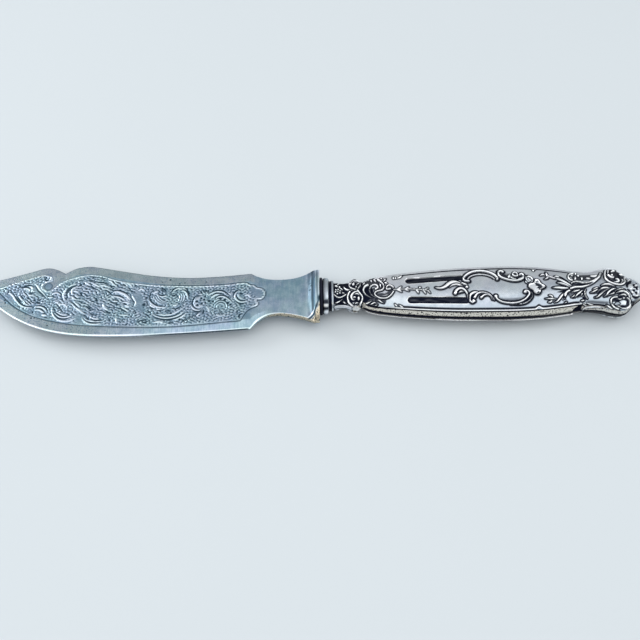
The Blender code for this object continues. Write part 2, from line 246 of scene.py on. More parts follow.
def strike(face, strokes, height, moat, depth, soot_and_shade=1.0, rim=0.14, polish_and_highlight=1.0):
    """Raise a group of strokes, with a sunk and darkened line round the group."""
    edge, crest = measure(face, strokes, moat)
    ditch = ease(1 - np.maximum(edge, 0) / moat)
    cover = ease(-edge / rim)
    sunk = face.height * (1 - ditch) - depth * ditch
    face.height = sunk * (1 - cover) + height * crest * cover
    face.soot_and_shade = np.maximum(face.soot_and_shade, soot_and_shade * ease(1.8 - 1.8 * np.maximum(edge, 0) / moat)) * (1 - cover)
    face.polish_and_highlight = face.polish_and_highlight * (1 - ditch) * (1 - cover) + polish_and_highlight * crest ** 0.55 * cover


def sink(face, strokes, depth, soot_and_shade, rim=0.25):
    """Press a group of strokes in, with darkened floors."""
    edge = measure(face, strokes, rim)[0]
    cover = ease(-edge / rim)
    face.height = face.height * (1 - cover) - depth * cover
    face.soot_and_shade = np.maximum(face.soot_and_shade, soot_and_shade * cover)
    face.polish_and_highlight = face.polish_and_highlight * (1 - cover)


WAVES = 48


def vermicelli(face, wave, angle, spread, seed):
    """Wandering ripples of about one wavelength, running across an angle within a spread."""
    chance = np.random.default_rng(seed)
    field = np.zeros_like(face.x)
    for _ in range(WAVES):
        turn = math.radians(angle + spread * chance.uniform(-1, 1))
        pace = 2 * math.pi / wave * chance.normal(1, 0.12)
        along_wave = face.x * math.cos(turn) + face.y * math.sin(turn)
        field += np.cos(pace * along_wave + chance.uniform(0, 2 * math.pi))
    return field / math.sqrt(WAVES / 2)


def enclosed(face, outline):
    """Whether each place lies inside a closed outline."""
    places = along(outline, 0.3)[0]
    inside = np.zeros(face.x.shape, bool)
    for (x0, y0), (x1, y1) in zip(places, places[1:]):
        if y0 != y1:
            crossing = x0 + (face.y - y0) / (y1 - y0) * (x1 - x0)
            inside ^= ((face.y > y0) != (face.y > y1)) & (face.x < crossing)
    return inside


def quads(rows, columns, closed=False):
    """Corner numbers of the faces of a grid of rows, closed on itself across or open."""
    numbers = np.arange(rows * columns).reshape(rows, columns)
    if closed:
        numbers = np.hstack([numbers, numbers[:, :1]])
    return np.stack([numbers[:-1, :-1], numbers[:-1, 1:], numbers[1:, 1:], numbers[1:, :-1]],
                    -1).reshape(-1, 4)


def show(name, data):
    """Object made from data and put into the scene."""
    shown = bpy.data.objects.new(name, data)
    bpy.context.scene.collection.objects.link(shown)
    return shown


def make_piece(name, places, faces, marks, material, sharp):
    """Closed mesh from places in millimetres from the axis, with named values at its corners."""
    data = bpy.data.meshes.new(name)
    data.from_pydata((np.asarray(places) * MM + AXIS).tolist(), [], [list(face) for face in faces])
    for mark, values in marks.items():
        data.attributes.new(mark, "FLOAT", "POINT").data.foreach_set("value", np.asarray(values, np.float32))
    mesh = bmesh.new()
    mesh.from_mesh(data)
    bmesh.ops.recalc_face_normals(mesh, faces=mesh.faces)
    mesh.to_mesh(data)
    mesh.free()
    data.materials.append(material)
    data.shade_smooth()
    data.set_sharp_from_angle(angle=math.radians(sharp))
    return show(name, data)


def add_node(tree, kind, values=None, **settings):
    """Node with its settings and the values or links of its inputs."""
    node = tree.nodes.new(kind)
    for setting, value in settings.items():
        setattr(node, setting, value)
    for socket, value in (values or {}).items():
        if isinstance(value, bpy.types.NodeSocket):
            tree.links.new(value, node.inputs[socket])
        else:
            node.inputs[socket].default_value = value
    return node


def mix_colours(tree, factor, first, second, blend="MIX"):
    """Colour between two colours or links, or another blend of them."""
    inputs = {0: factor, 6: first, 7: second}
    return add_node(tree, "ShaderNodeMix", inputs, data_type="RGBA", blend_type=blend).outputs[2]


def remap(tree, value, low, high, bottom=0.0, top=1.0):
    """Value taken from one range to another, held at the ends."""
    settings = {"Value": value, "From Min": low, "From Max": high, "To Min": bottom, "To Max": top}
    return add_node(tree, "ShaderNodeMapRange", settings, interpolation_type="SMOOTHSTEP").outputs["Result"]


def worn_metal(name, polished_and_highlight, dulled_and_shaded, oxide_and_shade, worn_and_reflection, roughness, brushing, bloom):
    """Metal bright where rubbed and where highlights are painted, dull where tarnished and where light is
    painted darker, black in recesses and painted shade, and pitted cream on worn sides that also stands in
    for a warm reflection.
    """
    material = bpy.data.materials.new(name)
    material.use_nodes = True
    tree = material.node_tree
    shader = tree.nodes["Principled BSDF"]
    shader.inputs["Metallic"].default_value = 1.0
    place = add_node(tree, "ShaderNodeTexCoord").outputs["Object"]
    # The dark mark carries blackened recesses and painted shade, the dulling mark tarnish and painted light,
    # and the side mark worn, pitted cream that also stands in for a warm reflection of the floor.
    soot_and_shade, side, tarnish_and_painted_light = [add_node(tree, "ShaderNodeAttribute", attribute_name=mark).outputs["Fac"]
                           for mark in ("soot_and_shade", "side", "tarnish_and_painted_light")]
    cloud = add_node(tree, "ShaderNodeTexNoise",
                     {"Vector": place, "Scale": 420, "Detail": 6, "Roughness": 0.65})
    speck = add_node(tree, "ShaderNodeTexNoise",
                     {"Vector": place, "Scale": 2400, "Detail": 2, "Roughness": 0.6})
    stretched = add_node(tree, "ShaderNodeMapping", {"Vector": place, "Scale": brushing})
    brush = add_node(tree, "ShaderNodeTexNoise", {"Vector": stretched.outputs[0], "Scale": 1000, "Detail": 3})
    patchy = remap(tree, cloud.outputs["Fac"], 0.3, 0.7, -0.09, 0.09)
    streaky = remap(tree, brush.outputs["Fac"], 0.3, 0.7, -0.05, 0.05)
    dull_and_shading = add_node(tree, "ShaderNodeMath", {0: tarnish_and_painted_light, 1: patchy}, operation="ADD").outputs[0]
    dull_and_shading = add_node(tree, "ShaderNodeMath", {0: dull_and_shading, 1: streaky}, operation="ADD", use_clamp=True).outputs[0]
    colour = mix_colours(tree, dull_and_shading, polished_and_highlight, dulled_and_shaded)
    sheen = add_node(tree, "ShaderNodeTexNoise", {"Vector": place, "Scale": 160, "Detail": 2})
    greener, pinker = (1 - bloom, 1 + bloom / 2, 1.0, 1), (1.0, 1 - bloom / 2, 1 + bloom, 1)
    hue = mix_colours(tree, remap(tree, sheen.outputs["Fac"], 0.35, 0.65), greener, pinker)
    colour = mix_colours(tree, 1.0, colour, hue, "MULTIPLY")
    pitted = mix_colours(tree, remap(tree, speck.outputs["Fac"], 0.55, 0.61), worn_and_reflection, oxide_and_shade)
    colour = mix_colours(tree, side, colour, pitted)
    colour = mix_colours(tree, soot_and_shade, colour, oxide_and_shade)
    tree.links.new(colour, shader.inputs["Base Color"])
    rough = remap(tree, brush.outputs["Fac"], 0.35, 0.75, roughness - 0.05, roughness + 0.08)
    rough = add_node(tree, "ShaderNodeMath", {0: soot_and_shade, 1: 0.25, 2: rough},
                     operation="MULTIPLY_ADD").outputs[0]
    tree.links.new(rough, shader.inputs["Roughness"])
    grain = {"Strength": 0.15, "Distance": 0.1 * MM}
    scratches = add_node(tree, "ShaderNodeBump", {"Height": brush.outputs["Fac"], **grain}).outputs["Normal"]
    dents = add_node(tree, "ShaderNodeBump", {"Height": speck.outputs["Fac"], "Normal": scratches, **grain})
    tree.links.new(dents.outputs["Normal"], shader.inputs["Normal"])
    return material


PANEL = [(-97.5, 3.6), (-94, 5.2), (-90, 6.7), (-87, 7.8), (-84, 8.7), (-82, 8.5), (-80.6, 7.5),
         (-80.6, 6.3), (-81.6, 5.9), (-83, 5.2), (-83.2, 4.0), (-82, 3.1), (-80.5, 3.4), (-79.3, 4.6),
         (-77.5, 6.2), (-74.2, 7.6), (-70, 8.5), (-66, 8.1), (-60.2, 6.2), (-52.4, 4.85), (-45, 4.3),
         (-37, 4.0), (-28.5, 4.3), (-22.6, 4.95), (-20.9, 4.2), (-19.5, 3.85), (-18.7, 3.15),
         (-17.8, 2.95), (-17.0, 2.6), (-16.35, 1.75), (-16.1, 0.65), (-16.4, -0.45), (-17.1, -1.2),
         (-18.0, -1.4), (-18.75, -1.25), (-18.4, -1.9), (-18.15, -2.7), (-18.6, -3.5), (-19.5, -3.9),
         (-20.5, -4.3), (-21.6, -5.2), (-22.5, -6.6), (-23.2, -7.9), (-24.2, -8.35), (-28.5, -8.7),
         (-37, -9.5), (-45, -10.0), (-55, -9.95), (-65, -9.5), (-72, -8.9), (-78, -7.8), (-84, -6.2),
         (-88.4, -4.1), (-92, -1.6), (-95.5, 1.9), (-97.5, 3.6)]

fillet_xs = FILLET_X + (RIM_X - FILLET_X) * np.sin(np.linspace(0, math.pi / 2, FILLET_ROWS))
blade_xs = np.concatenate([np.linspace(TIP_X, SHOULDER_X, BLADE_ROWS, endpoint=False),
                           np.linspace(SHOULDER_X, FILLET_X, NECK_ROWS, endpoint=False),
                           fillet_xs, [-1.1, -1.0, -0.9, -0.8, -0.7],
                           -FLANGE_ROUND * np.array([1.0, 0.7, 0.4, 0.15, 0.0001]), [0.0, TANG_END]])
front_share = np.concatenate([[0.0], np.linspace(0.006, 0.994, FRONT_COLUMNS), [1.0]])
back_share = np.concatenate([[1.0], np.linspace(0.98, 0.02, BACK_COLUMNS), [0.0]])
front_y, front_z = np.array([blade_section(x, front_share) for x in blade_xs]).transpose(1, 0, 2)
back_y, back_z = np.array([blade_section(x, back_share) for x in blade_xs]).transpose(1, 0, 2)
show_side = StruckFace(np.repeat(blade_xs[:, None], front_share.size, axis=1), front_y)

# Ground of the panel: fine pebbling, long wavy lines through the shell-like mass, and a few smoother patches
PEBBLE_PITCH, LINE_PITCH, WANDER_PITCH, GROUND_HEIGHT = 0.85, 0.92, 2.4, 0.04
outline_gap = np.abs(measure(show_side, [cord(0.1, *PANEL)], 1.5)[0] + 0.05)
in_panel = enclosed(show_side, PANEL)
off_edge = ease((outline_gap - 0.35) / 0.3) * in_panel
mass = measure(show_side, [leaf(11.5, (-77, 4.0), (-69, 1.0), (-62, 0.0), (-54, 1.0))], 2.0)[0]
mass = ease(0.5 - mass / 2.5)
calm = measure(show_side,
               [leaf(3.6, (-54.6, 2.0), (-54.2, -1.5), (-52.8, -4.8)),
                leaf(2.4, (-88, -4.0), (-85, -4.6), (-80, -6.5)),
                leaf(3.0, (-94, 1.8), (-92.6, 0.2), (-91, -1.2)),
                leaf(3.0, (-86, 5.0), (-84, 3.0), (-81, 2.5)),
                leaf(3.0, (-73, -5.5), (-71, -7.0), (-70.6, -8.6)),
                leaf(3.0, (-20.4, 2.2), (-18.6, 1.2), (-16.9, 0.6))], 1.5)[0]
pebbles = vermicelli(show_side, PEBBLE_PITCH, 50, 90, 3)
wander = 0.22 * vermicelli(show_side, WANDER_PITCH, 0, 180, 8)
wavy_lines = np.cos(2 * math.pi / LINE_PITCH * (0.42 * show_side.x + 0.9 * show_side.y + wander))
ripple = pebbles * (1 - mass) + (1.05 * wavy_lines + 0.45 * pebbles) * mass
ripple = ripple * (1 - 0.75 * ease(0.5 - calm / 1.5))
show_side.height = GROUND_HEIGHT * np.clip(ripple, -1.2, 1.2) * off_edge
show_side.soot_and_shade = (0.80 + 0.20 * mass) * ease(-ripple / 1.05 - 0.08) * off_edge
show_side.polish_and_highlight = (0.31 + 0.15 * mass) * ease(ripple / 1.4 - 0.08) * off_edge


RIDGE_HEIGHT, CUT_DEPTH, PIT_DEPTH = 0.10, 0.08, 0.08


def line_cover(width, lines):
    """How far each place of the panel lies on thin lines."""
    edge = measure(show_side, [leaf(width, *line) for line in lines], 0.2)[0]
    return ease(0.5 - edge / 0.24)


def ridges(width, *lines, polish_and_highlight=0.68):
    """Raise bright lines on the panel."""
    cover = line_cover(width, lines)
    show_side.height = show_side.height * (1 - cover) + RIDGE_HEIGHT * cover
    show_side.soot_and_shade = show_side.soot_and_shade * (1 - cover)
    show_side.polish_and_highlight = np.maximum(show_side.polish_and_highlight * (1 - cover), polish_and_highlight * cover)


def cuts(width, *lines, soot_and_shade=1.0):
    """Cut dark lines into the panel."""
    cover = line_cover(width, lines)
    show_side.height = show_side.height * (1 - cover) - CUT_DEPTH * cover
    show_side.soot_and_shade = np.maximum(show_side.soot_and_shade, soot_and_shade * cover)
    show_side.polish_and_highlight = show_side.polish_and_highlight * (1 - cover)


def pits(*spots):
    """Press small dark spots, each given by its place and its breadth."""
    sink(show_side, [bead(x, y, 1.5 * across) for x, y, across in spots], PIT_DEPTH, 0.95, rim=0.15)


def arc(centre, radius, start, end):
    """Points of an arc about a centre, angles in degrees."""
    angles = np.radians(np.linspace(start, end, 9))
    return [(centre[0] + radius * math.cos(a), centre[1] + radius * math.sin(a)) for a in angles]


# Tip of the panel: a long S leaf, slashes beside it, a hooked scroll above and two arcs behind
ridges(0.55,
       [(-93.8, 2.9), (-92.9, 2.2), (-91.8, 1.2), (-90.7, -0.3), (-89.4, -1.7), (-88.0, -2.55),
        (-86.2, -2.8)], [(-89.0, 3.8), (-88.2, 3.9), (-87.4, 3.6), (-87.1, 2.9)],
       [(-87.3, 4.5), (-86.6, 4.2), (-86.2, 3.4)],
       [(-86.1, 5.5), (-85.2, 4.9), (-84.2, 3.3), (-83.2, 2.3), (-82.2, 1.1)],
       [(-83.2, 3.8), (-82.6, 3.2), (-82.0, 2.8)],
       [(-84.7, -2.6), (-83.6, -2.55), (-82.7, -2.75), (-81.9, -3.25), (-81.2, -4.1)],
       [(-84.6, -3.8), (-83.7, -3.6), (-82.9, -3.9), (-82.2, -4.4), (-81.7, -5.1)],
       [(-82.3, -5.4), (-81.0, -5.5)])
ridges(0.42, [(-90.0, 1.3), (-89.2, 0.1), (-88.5, -0.5)], [(-88.5, -0.3), (-88.0, -1.1), (-86.6, -2.2)],
       [(-87.7, -0.5), (-87.2, -1.2), (-86.3, -1.8)], [(-87.0, 0.0), (-86.4, -0.7), (-85.6, -1.5)],
       [(-88.8, 2.3), (-88.0, 1.6), (-87.5, 1.0)], [(-87.4, 1.6), (-86.4, 1.35), (-85.6, 1.6)],
       [(-86.6, 3.0), (-85.7, 2.8)], [(-81.3, 7.8), (-81.2, 6.8)])
cuts(0.5, [(-92.9, 2.8), (-92.1, 2.4), (-91.0, 0.8), (-89.8, -0.7), (-88.7, -1.7), (-87.2, -2.3),
           (-84.9, -2.4)], [(-90.1, 4.2), (-89.2, 4.5), (-87.9, 4.95), (-86.9, 4.9), (-86.0, 4.4)],
     [(-89.8, 4.2), (-88.4, 4.4), (-87.5, 4.1), (-86.8, 3.5)],
     [(-86.1, 5.0), (-85.4, 4.3), (-84.5, 3.0), (-83.2, 1.8), (-81.8, 0.4)],
     [(-84.8, -2.3), (-83.5, -2.1), (-82.2, -2.5), (-81.2, -3.3), (-80.5, -4.5)],
     [(-84.5, -3.2), (-83.6, -3.1), (-82.6, -3.5), (-81.3, -4.7)],
     [(-83.3, 7.5), (-82.8, 6.8), (-81.8, 6.6)])
cuts(0.42, [(-90.7, 1.5), (-90.0, 0.3), (-88.8, -1.1)], [(-89.8, 1.7), (-88.5, 0.3)],
     [(-89.0, 3.0), (-88.0, 1.9), (-87.1, 0.9)], [(-86.7, 0.0), (-86.0, -0.8), (-85.0, -1.0)],
     [(-88.3, -0.2), (-87.7, -1.0), (-86.6, -1.9)], [(-87.3, -0.3), (-86.6, -1.0), (-85.9, -1.6)],
     [(-87.0, 3.1), (-86.7, 2.3), (-85.6, 2.2)], [(-85.0, 1.3), (-84.4, 0.9), (-83.9, 0.4)],
     [(-81.4, 1.3), (-80.5, 0.9), (-79.2, 1.2)], [(-82.3, -4.7), (-81.0, -5.1)],
     [(-81.6, -6.1), (-80.4, -6.4)], [(-93.4, 3.3), (-92.5, 3.3)], [(-84.6, -0.2), (-83.0, 0.0)])
pits((-87.1, 0.5, 0.6), (-85.2, -0.2, 0.6), (-84.3, -1.05, 0.6), (-83.7, -1.15, 0.6), (-85.2, -4.3, 0.5),
     (-90.2, 4.7, 0.5), (-93.5, 2.7, 0.5), (-93.0, 5.2, 0.5), (-91.9, 5.5, 0.5), (-88.9, 5.9, 0.5),
     (-87.7, 7.1, 0.5), (-82.7, 7.7, 0.5), (-94.5, 4.1, 0.5))

# Crescent under the notch, a wavy line over it and the dark hooked leaf beside them
ridges(0.5, [(-78.5, -4.9), (-77.8, -5.6), (-76.8, -6.2), (-75.6, -6.35), (-74.4, -6.1), (-73.6, -5.4)],
       [(-79.7, -3.4), (-79.3, -5.0), (-78.2, -6.5), (-77.0, -7.3), (-75.6, -7.6), (-74.0, -7.5),
        (-72.2, -6.7)], [(-77.8, -4.5), (-77.0, -5.2), (-76.0, -5.5), (-75.0, -5.4)],
       [(-80.3, 1.6), (-79.3, 2.2), (-78.4, 2.1), (-77.7, 1.4)], [(-78.9, -0.9), (-77.8, -1.9)],
       [(-77.7, -2.3), (-76.9, -1.8), (-76.0, -2.0), (-75.4, -2.6), (-75.2, -3.3)],
       [(-81.2, 0.6), (-79.9, 0.7)])
cuts(0.52, [(-78.8, -4.0), (-78.0, -4.9), (-76.8, -5.7), (-75.4, -5.95), (-74.4, -5.7)],
     [(-79.2, -4.3), (-78.5, -5.4), (-77.3, -6.5), (-75.8, -6.8), (-74.6, -6.6), (-73.7, -6.2)])
cuts(0.42, [(-79.3, -2.4), (-78.9, -3.4), (-78.3, -4.2)],
     [(-78.7, -1.1), (-77.7, -2.6), (-76.6, -4.0), (-75.6, -5.0)],
     [(-79.6, 2.6), (-78.5, 2.5), (-77.7, 1.9), (-77.0, 1.0)], [(-77.1, 0.5), (-76.7, -0.6)],
     [(-74.9, -4.8), (-74.0, -5.7)], [(-73.4, -5.0), (-72.5, -5.7)])
sink(show_side,
     [leaf(1.5, (-72.9, 4.8), (-74.3, 4.3), (-75.4, 3.2), (-75.8, 2.1), (-75.6, 1.2)),
      bead(-75.7, 0.3, 1.0)], 0.10, 0.85, rim=0.3)
ridges(0.45, [(-76.0, 3.8), (-76.6, 2.4), (-76.8, 1.2), (-76.5, 0.2), (-76.0, -0.6)],
       [(-75.6, 4.0), (-74.8, 4.7), (-73.4, 5.1)],
       [(-73.1, 4.1), (-74.0, 3.8), (-74.4, 3.0), (-74.3, 2.2), (-73.8, 1.6)],
       [(-73.6, 2.9), (-72.9, 2.5), (-72.3, 2.4)])

# Shell-like mass: slanting leaves and waves, a double volute in its middle and crescents below
ridges(0.5, [(-74.4, -1.2), (-73.4, -2.2), (-72.0, -3.5), (-70.4, -4.7), (-69.4, -5.3)],
       [(-73.4, -1.1), (-72.0, -2.3), (-71.4, -3.0)], [(-74.5, 0.9), (-73.4, 0.1), (-72.6, -0.5)],
       [(-73.3, 1.1), (-72.3, 0.4)],
       [(-70.4, -6.5), (-69.8, -7.4), (-68.4, -8.4), (-66.4, -8.8), (-64.4, -8.7)],
       [(-69.5, -6.7), (-68.8, -7.4), (-67.8, -7.7), (-66.0, -7.85), (-64.4, -7.8)],
       [(-67.8, -6.3), (-66.8, -6.9), (-65.4, -7.1)])
ridges(0.5, [(-63.7, 6.2), (-62.6, 5.6), (-61.9, 4.8), (-61.1, 4.2)],
       [(-62.1, 6.3), (-61.4, 5.5), (-60.4, 5.0)], [(-60.2, 5.8), (-59.2, 5.3), (-57.8, 4.2)],
       [(-58.2, 5.4), (-57.0, 4.6), (-56.3, 3.6)], [(-66.4, 4.6), (-64.6, 4.4), (-63.2, 3.7)],
       [(-65.0, 3.5), (-63.8, 3.0), (-62.8, 2.2)], [(-68.6, 5.4), (-67.2, 4.6), (-66.0, 3.9)],
       [(-71.2, 5.9), (-70.2, 5.4), (-69.2, 4.6)])
ridges(0.68,
       [(-61.9, 1.8), (-61.0, 2.25), (-60.0, 2.1), (-58.8, 1.5), (-57.7, 0.7), (-57.1, -0.1),
        (-56.7, -0.8)])
ridges(0.52, [(-62.5, 0.0), (-61.6, 0.5), (-60.6, 0.45), (-59.3, 0.0), (-58.6, -0.5), (-58.1, -1.0)],
       [(-64.5, -1.7), (-64.3, -2.8), (-63.4, -3.8), (-62.6, -4.3)],
       [(-55.9, 0.7), (-55.5, -0.3), (-55.0, -1.3), (-54.9, -2.0), (-55.1, -2.8)],
       [(-59.0, -3.2), (-58.2, -3.6), (-57.0, -4.6)], [(-57.9, -2.5), (-56.7, -3.0)],
       [(-58.5, -1.3), (-57.6, -1.6), (-56.6, -2.0)], [(-61.5, -1.0), (-60.5, -1.2)],
       [(-59.0, -5.9), (-56.9, -5.9)], [(-54.3, 2.5), (-53.5, 3.0), (-52.5, 2.5)],
       [(-60.3, -6.6), (-59.9, -8.6)])
cuts(0.52, [(-74.5, -0.7), (-73.5, -1.5), (-72.4, -2.6), (-71.4, -3.4)],
     [(-73.9, 1.2), (-73.2, 0.6), (-72.4, -0.1)], [(-72.0, 2.2), (-71.0, 1.1)],
     [(-70.0, -6.7), (-69.2, -7.5), (-67.8, -8.15), (-66.2, -8.3), (-64.4, -8.2)],
     [(-67.8, -6.8), (-66.8, -7.4), (-65.4, -7.5), (-64.0, -7.35)], [(-69.2, -6.4), (-68.0, -7.3)],
     [(-63.7, 6.7), (-62.7, 6.35), (-62.1, 5.6), (-61.2, 4.6)], [(-61.8, 6.1), (-61.0, 5.6), (-60.0, 5.1)],
     [(-59.4, 5.0), (-58.2, 4.3)], [(-55.8, 5.0), (-55.0, 4.4)],
     [(-67.8, 5.9), (-66.2, 5.7), (-64.8, 5.5), (-63.4, 5.1)], [(-64.5, 3.1), (-63.4, 2.4), (-62.1, 1.1)],
     [(-61.7, 2.6), (-60.4, 2.75), (-59.0, 2.25), (-57.8, 1.6), (-57.0, 0.8)],
     [(-63.9, -4.0), (-63.2, -4.5), (-62.0, -5.3)], [(-59.0, -3.8), (-58.2, -4.2), (-57.0, -5.0)],
     [(-58.4, -1.7), (-57.4, -2.3)])
cuts(0.42, [(-69.6, 7.75), (-68.4, 7.65), (-67.2, 7.45)], [(-66.5, 7.3), (-65.2, 7.1), (-64.0, 6.95)],
     [(-70.0, 6.5), (-68.8, 6.4), (-67.4, 6.0)], [(-69.0, 4.8), (-68.0, 3.8), (-66.7, 3.1)],
     [(-69.2, -2.0), (-68.3, -2.9), (-67.4, -3.4)],
     [(-68.6, -4.4), (-67.8, -5.2), (-66.8, -5.6), (-65.6, -5.6)], [(-70.2, -4.5), (-69.1, -5.1)],
     [(-70.2, -5.4), (-69.0, -6.1)], [(-67.6, 0.3), (-66.8, -0.1), (-66.0, -0.8)],
     [(-63.2, 4.3), (-61.4, 4.1)], [(-62.9, 3.3), (-61.6, 2.5)], [(-57.6, 3.8), (-56.7, 2.8)],
     [(-56.6, 0.8), (-55.9, -0.5), (-55.3, -1.5), (-55.3, -2.2), (-55.8, -3.0)],
     [(-57.6, -3.4), (-56.6, -4.0)], [(-55.1, -4.0), (-54.7, -4.8), (-54.9, -5.4)],
     [(-62.5, -6.8), (-61.7, -7.6)], [(-58.2, -7.1), (-58.4, -8.0)],
     [(-62.6, -1.3), (-61.7, -1.5), (-61.0, -2.0)], [(-61.4, -0.3), (-60.4, -0.6), (-59.8, -1.2)],
     [(-55.0, 4.0), (-53.6, 4.4), (-52.3, 4.1), (-51.9, 3.2)])
sink(show_side,
     [leaf(0.9, (-61.9, 1.2), (-60.6, 1.05), (-59.4, 0.6), (-58.0, -0.4)),
      leaf(0.8, (-61.2, -2.2), (-61.0, -3.9)), leaf(0.8, (-63.2, -3.1), (-62.2, -3.3))], 0.08, 0.85,
     rim=0.3)
pits((-71.9, 4.9, 0.6), (-71.0, 5.4, 0.5), (-70.0, 3.5, 0.5), (-55.8, -6.4, 0.5), (-57.0, -9.0, 0.5),
     (-52.3, -2.3, 0.8), (-51.7, 0.0, 0.6))

# Horned crescent: two horns that curl in over a basket of nested arcs
ridges(0.5,
       [(-49.6, -5.7), (-48.6, -6.3), (-47.2, -6.85), (-45.6, -7.05), (-43.8, -6.9), (-42.2, -6.4),
        (-41.0, -5.6), (-40.1, -4.6)],
       [(-50.9, -1.0), (-50.2, -2.0), (-49.0, -2.9), (-47.4, -3.4), (-45.6, -3.45)],
       [(-50.5, -2.7), (-49.0, -3.5)], [(-49.0, 1.2), (-48.1, 0.6), (-46.9, 0.35), (-45.6, 0.5)],
       [(-49.8, 1.3), (-49.1, 1.9), (-48.5, 2.0)],
       [(-43.9, 2.0), (-43.3, 2.7), (-42.4, 3.0), (-41.3, 2.75)],
       [(-41.0, 3.1), (-40.2, 2.7), (-39.6, 2.0), (-39.2, 1.2)],
       [(-41.4, 2.2), (-40.4, 1.95), (-39.8, 1.3), (-39.5, 0.4), (-39.45, -0.5)],
       [(-43.5, -7.7), (-42.0, -7.35), (-40.7, -6.6), (-39.5, -5.5)], [(-48.3, -4.1), (-47.6, -4.1)],
       [(-43.7, -2.9), (-42.5, -2.7)], [(-49.2, -8.5), (-47.4, -8.3), (-46.0, -8.8)], polish_and_highlight=0.65)
ridges(0.45, [(-48.0, -5.65), (-46.6, -6.0), (-44.8, -6.0), (-43.0, -5.4), (-41.6, -4.5), (-40.6, -3.6)])
cuts(0.58, [(-49.6, -6.0), (-48.6, -6.8), (-46.8, -7.4), (-45.2, -7.6), (-43.6, -7.4), (-42.0, -6.85),
            (-40.8, -6.05), (-39.6, -5.0)])
cuts(0.5, [(-49.3, -5.3), (-48.3, -6.0), (-46.8, -6.55), (-45.2, -6.65), (-43.4, -6.35), (-42.0, -5.6),
           (-40.4, -4.2)],
     [(-49.2, 3.0), (-50.3, 2.2), (-50.7, 0.8), (-50.6, -0.6), (-49.8, -1.7), (-48.6, -2.6),
      (-47.2, -3.05), (-45.8, -3.1)], [(-48.3, 1.8), (-47.9, 1.0), (-46.9, 0.7), (-45.9, 1.0)],
     [(-47.8, 3.0), (-46.9, 3.05), (-46.2, 2.5), (-45.9, 1.8)],
     [(-44.3, 0.8), (-44.4, 1.7), (-43.8, 2.8), (-42.6, 3.5), (-41.4, 3.65)],
     [(-44.4, 0.9), (-43.6, 0.65), (-42.8, 1.2)],
     [(-41.0, 3.55), (-40.1, 3.1), (-39.5, 2.3), (-38.8, 1.1)],
     [(-41.3, 2.8), (-40.4, 2.5), (-39.5, 1.6), (-39.1, 0.5), (-38.9, -0.6)],
     [(-50.7, -3.2), (-49.9, -3.6), (-49.0, -4.0)], [(-45.4, -4.65), (-44.4, -4.45)],
     [(-43.6, -3.4), (-42.9, -4.0), (-42.0, -3.6), (-41.0, -3.0)],
     [(-54.0, -8.1), (-53.0, -7.8), (-52.0, -7.65), (-50.8, -7.2)],
     [(-52.4, -8.6), (-51.4, -8.3), (-50.6, -7.9)], [(-51.8, -5.4), (-51.0, -6.0), (-50.3, -6.6)],
     [(-51.0, -4.5), (-50.0, -5.2)])
for step in range(3):
    slip = 0.68 * step
    ridges(0.34,
           [(-49.8 + slip, 0.6), (-49.1 + slip, -0.7 + slip / 5), (-48.0 + slip, -1.75 + slip / 3),
            (-46.2 + slip / 2, -2.45 + slip / 1.5)],
           [(-40.9 - slip, 1.6 - slip / 3), (-40.4 - slip, 0.3), (-40.6 - slip, -0.9),
            (-41.4 - slip / 2, -2.0 + slip / 3)], polish_and_highlight=0.38)
    cuts(0.34, [(-49.5 + slip, 0.75), (-48.8 + slip, -0.5 + slip / 5), (-47.7 + slip, -1.5 + slip / 3),
                (-46.0 + slip / 2, -2.15 + slip / 1.5)],
         [(-40.6 - slip, 1.7 - slip / 3), (-40.1 - slip, 0.3), (-40.3 - slip, -1.0),
          (-41.2 - slip / 2, -2.3 + slip / 3)], soot_and_shade=0.8)
cuts(0.38, [(-43.2, 1.9), (-42.8, 2.5), (-42.2, 2.7)], [(-48.3, 2.6), (-47.7, 1.8)],
     [(-47.4, 2.7), (-46.9, 1.9)], [(-48.5, -4.4), (-46.5, -4.5)],
     [(-51.9, -0.9), (-51.4, -1.8), (-50.9, -2.8)], [(-44.8, -8.6), (-43.9, -8.5), (-43.2, -8.8)])
pits((-47.2, 3.1, 0.55), (-42.4, 0.4, 0.5), (-44.1, -5.4, 0.6), (-48.1, -5.3, 0.6), (-39.0, 1.3, 0.5),
     (-41.4, -7.6, 0.6), (-40.2, -8.0, 0.5))

# Comma lobe with pits, a frill above it and crossed cuts below
ridges(1.6, [(-35.8, -0.2), (-36.7, -1.0), (-36.9, -2.2), (-36.2, -3.2), (-35.0, -3.0)], polish_and_highlight=0.35)
ridges(0.42, [(-38.3, -2.8), (-37.7, -3.8), (-36.8, -4.5), (-35.2, -4.6)],
       [(-33.8, -3.3), (-33.0, -4.2), (-32.8, -5.1)], [(-35.1, 1.9), (-34.4, 1.1)],
       [(-34.1, 2.1), (-33.7, 1.4)], [(-33.8, 1.1), (-33.2, 0.6)], [(-36.2, 0.9), (-35.0, 0.7)],
       polish_and_highlight=0.55)
cuts(0.52, [(-35.2, 0.5), (-36.3, 0.6), (-37.3, 0.0), (-37.8, -1.2), (-37.9, -2.2), (-37.4, -3.4),
            (-36.3, -4.1), (-35.2, -3.9)], [(-37.9, -4.3), (-37.0, -4.9), (-35.8, -5.0), (-35.0, -4.4)],
     [(-35.8, 2.1), (-35.0, 1.1)], [(-34.9, 2.6), (-34.5, 1.4)], [(-34.1, 2.7), (-34.0, 1.5)],
     [(-33.2, 2.5), (-33.5, 1.4)], [(-34.6, -4.2), (-34.4, -5.0), (-34.9, -5.7)])
pits((-36.6, -1.5, 0.65), (-36.4, -2.8, 0.65), (-35.3, -0.5, 0.6), (-34.4, -0.9, 0.6), (-35.1, -2.2, 0.6),
     (-34.0, -2.0, 0.5), (-34.2, 0.3, 0.5))
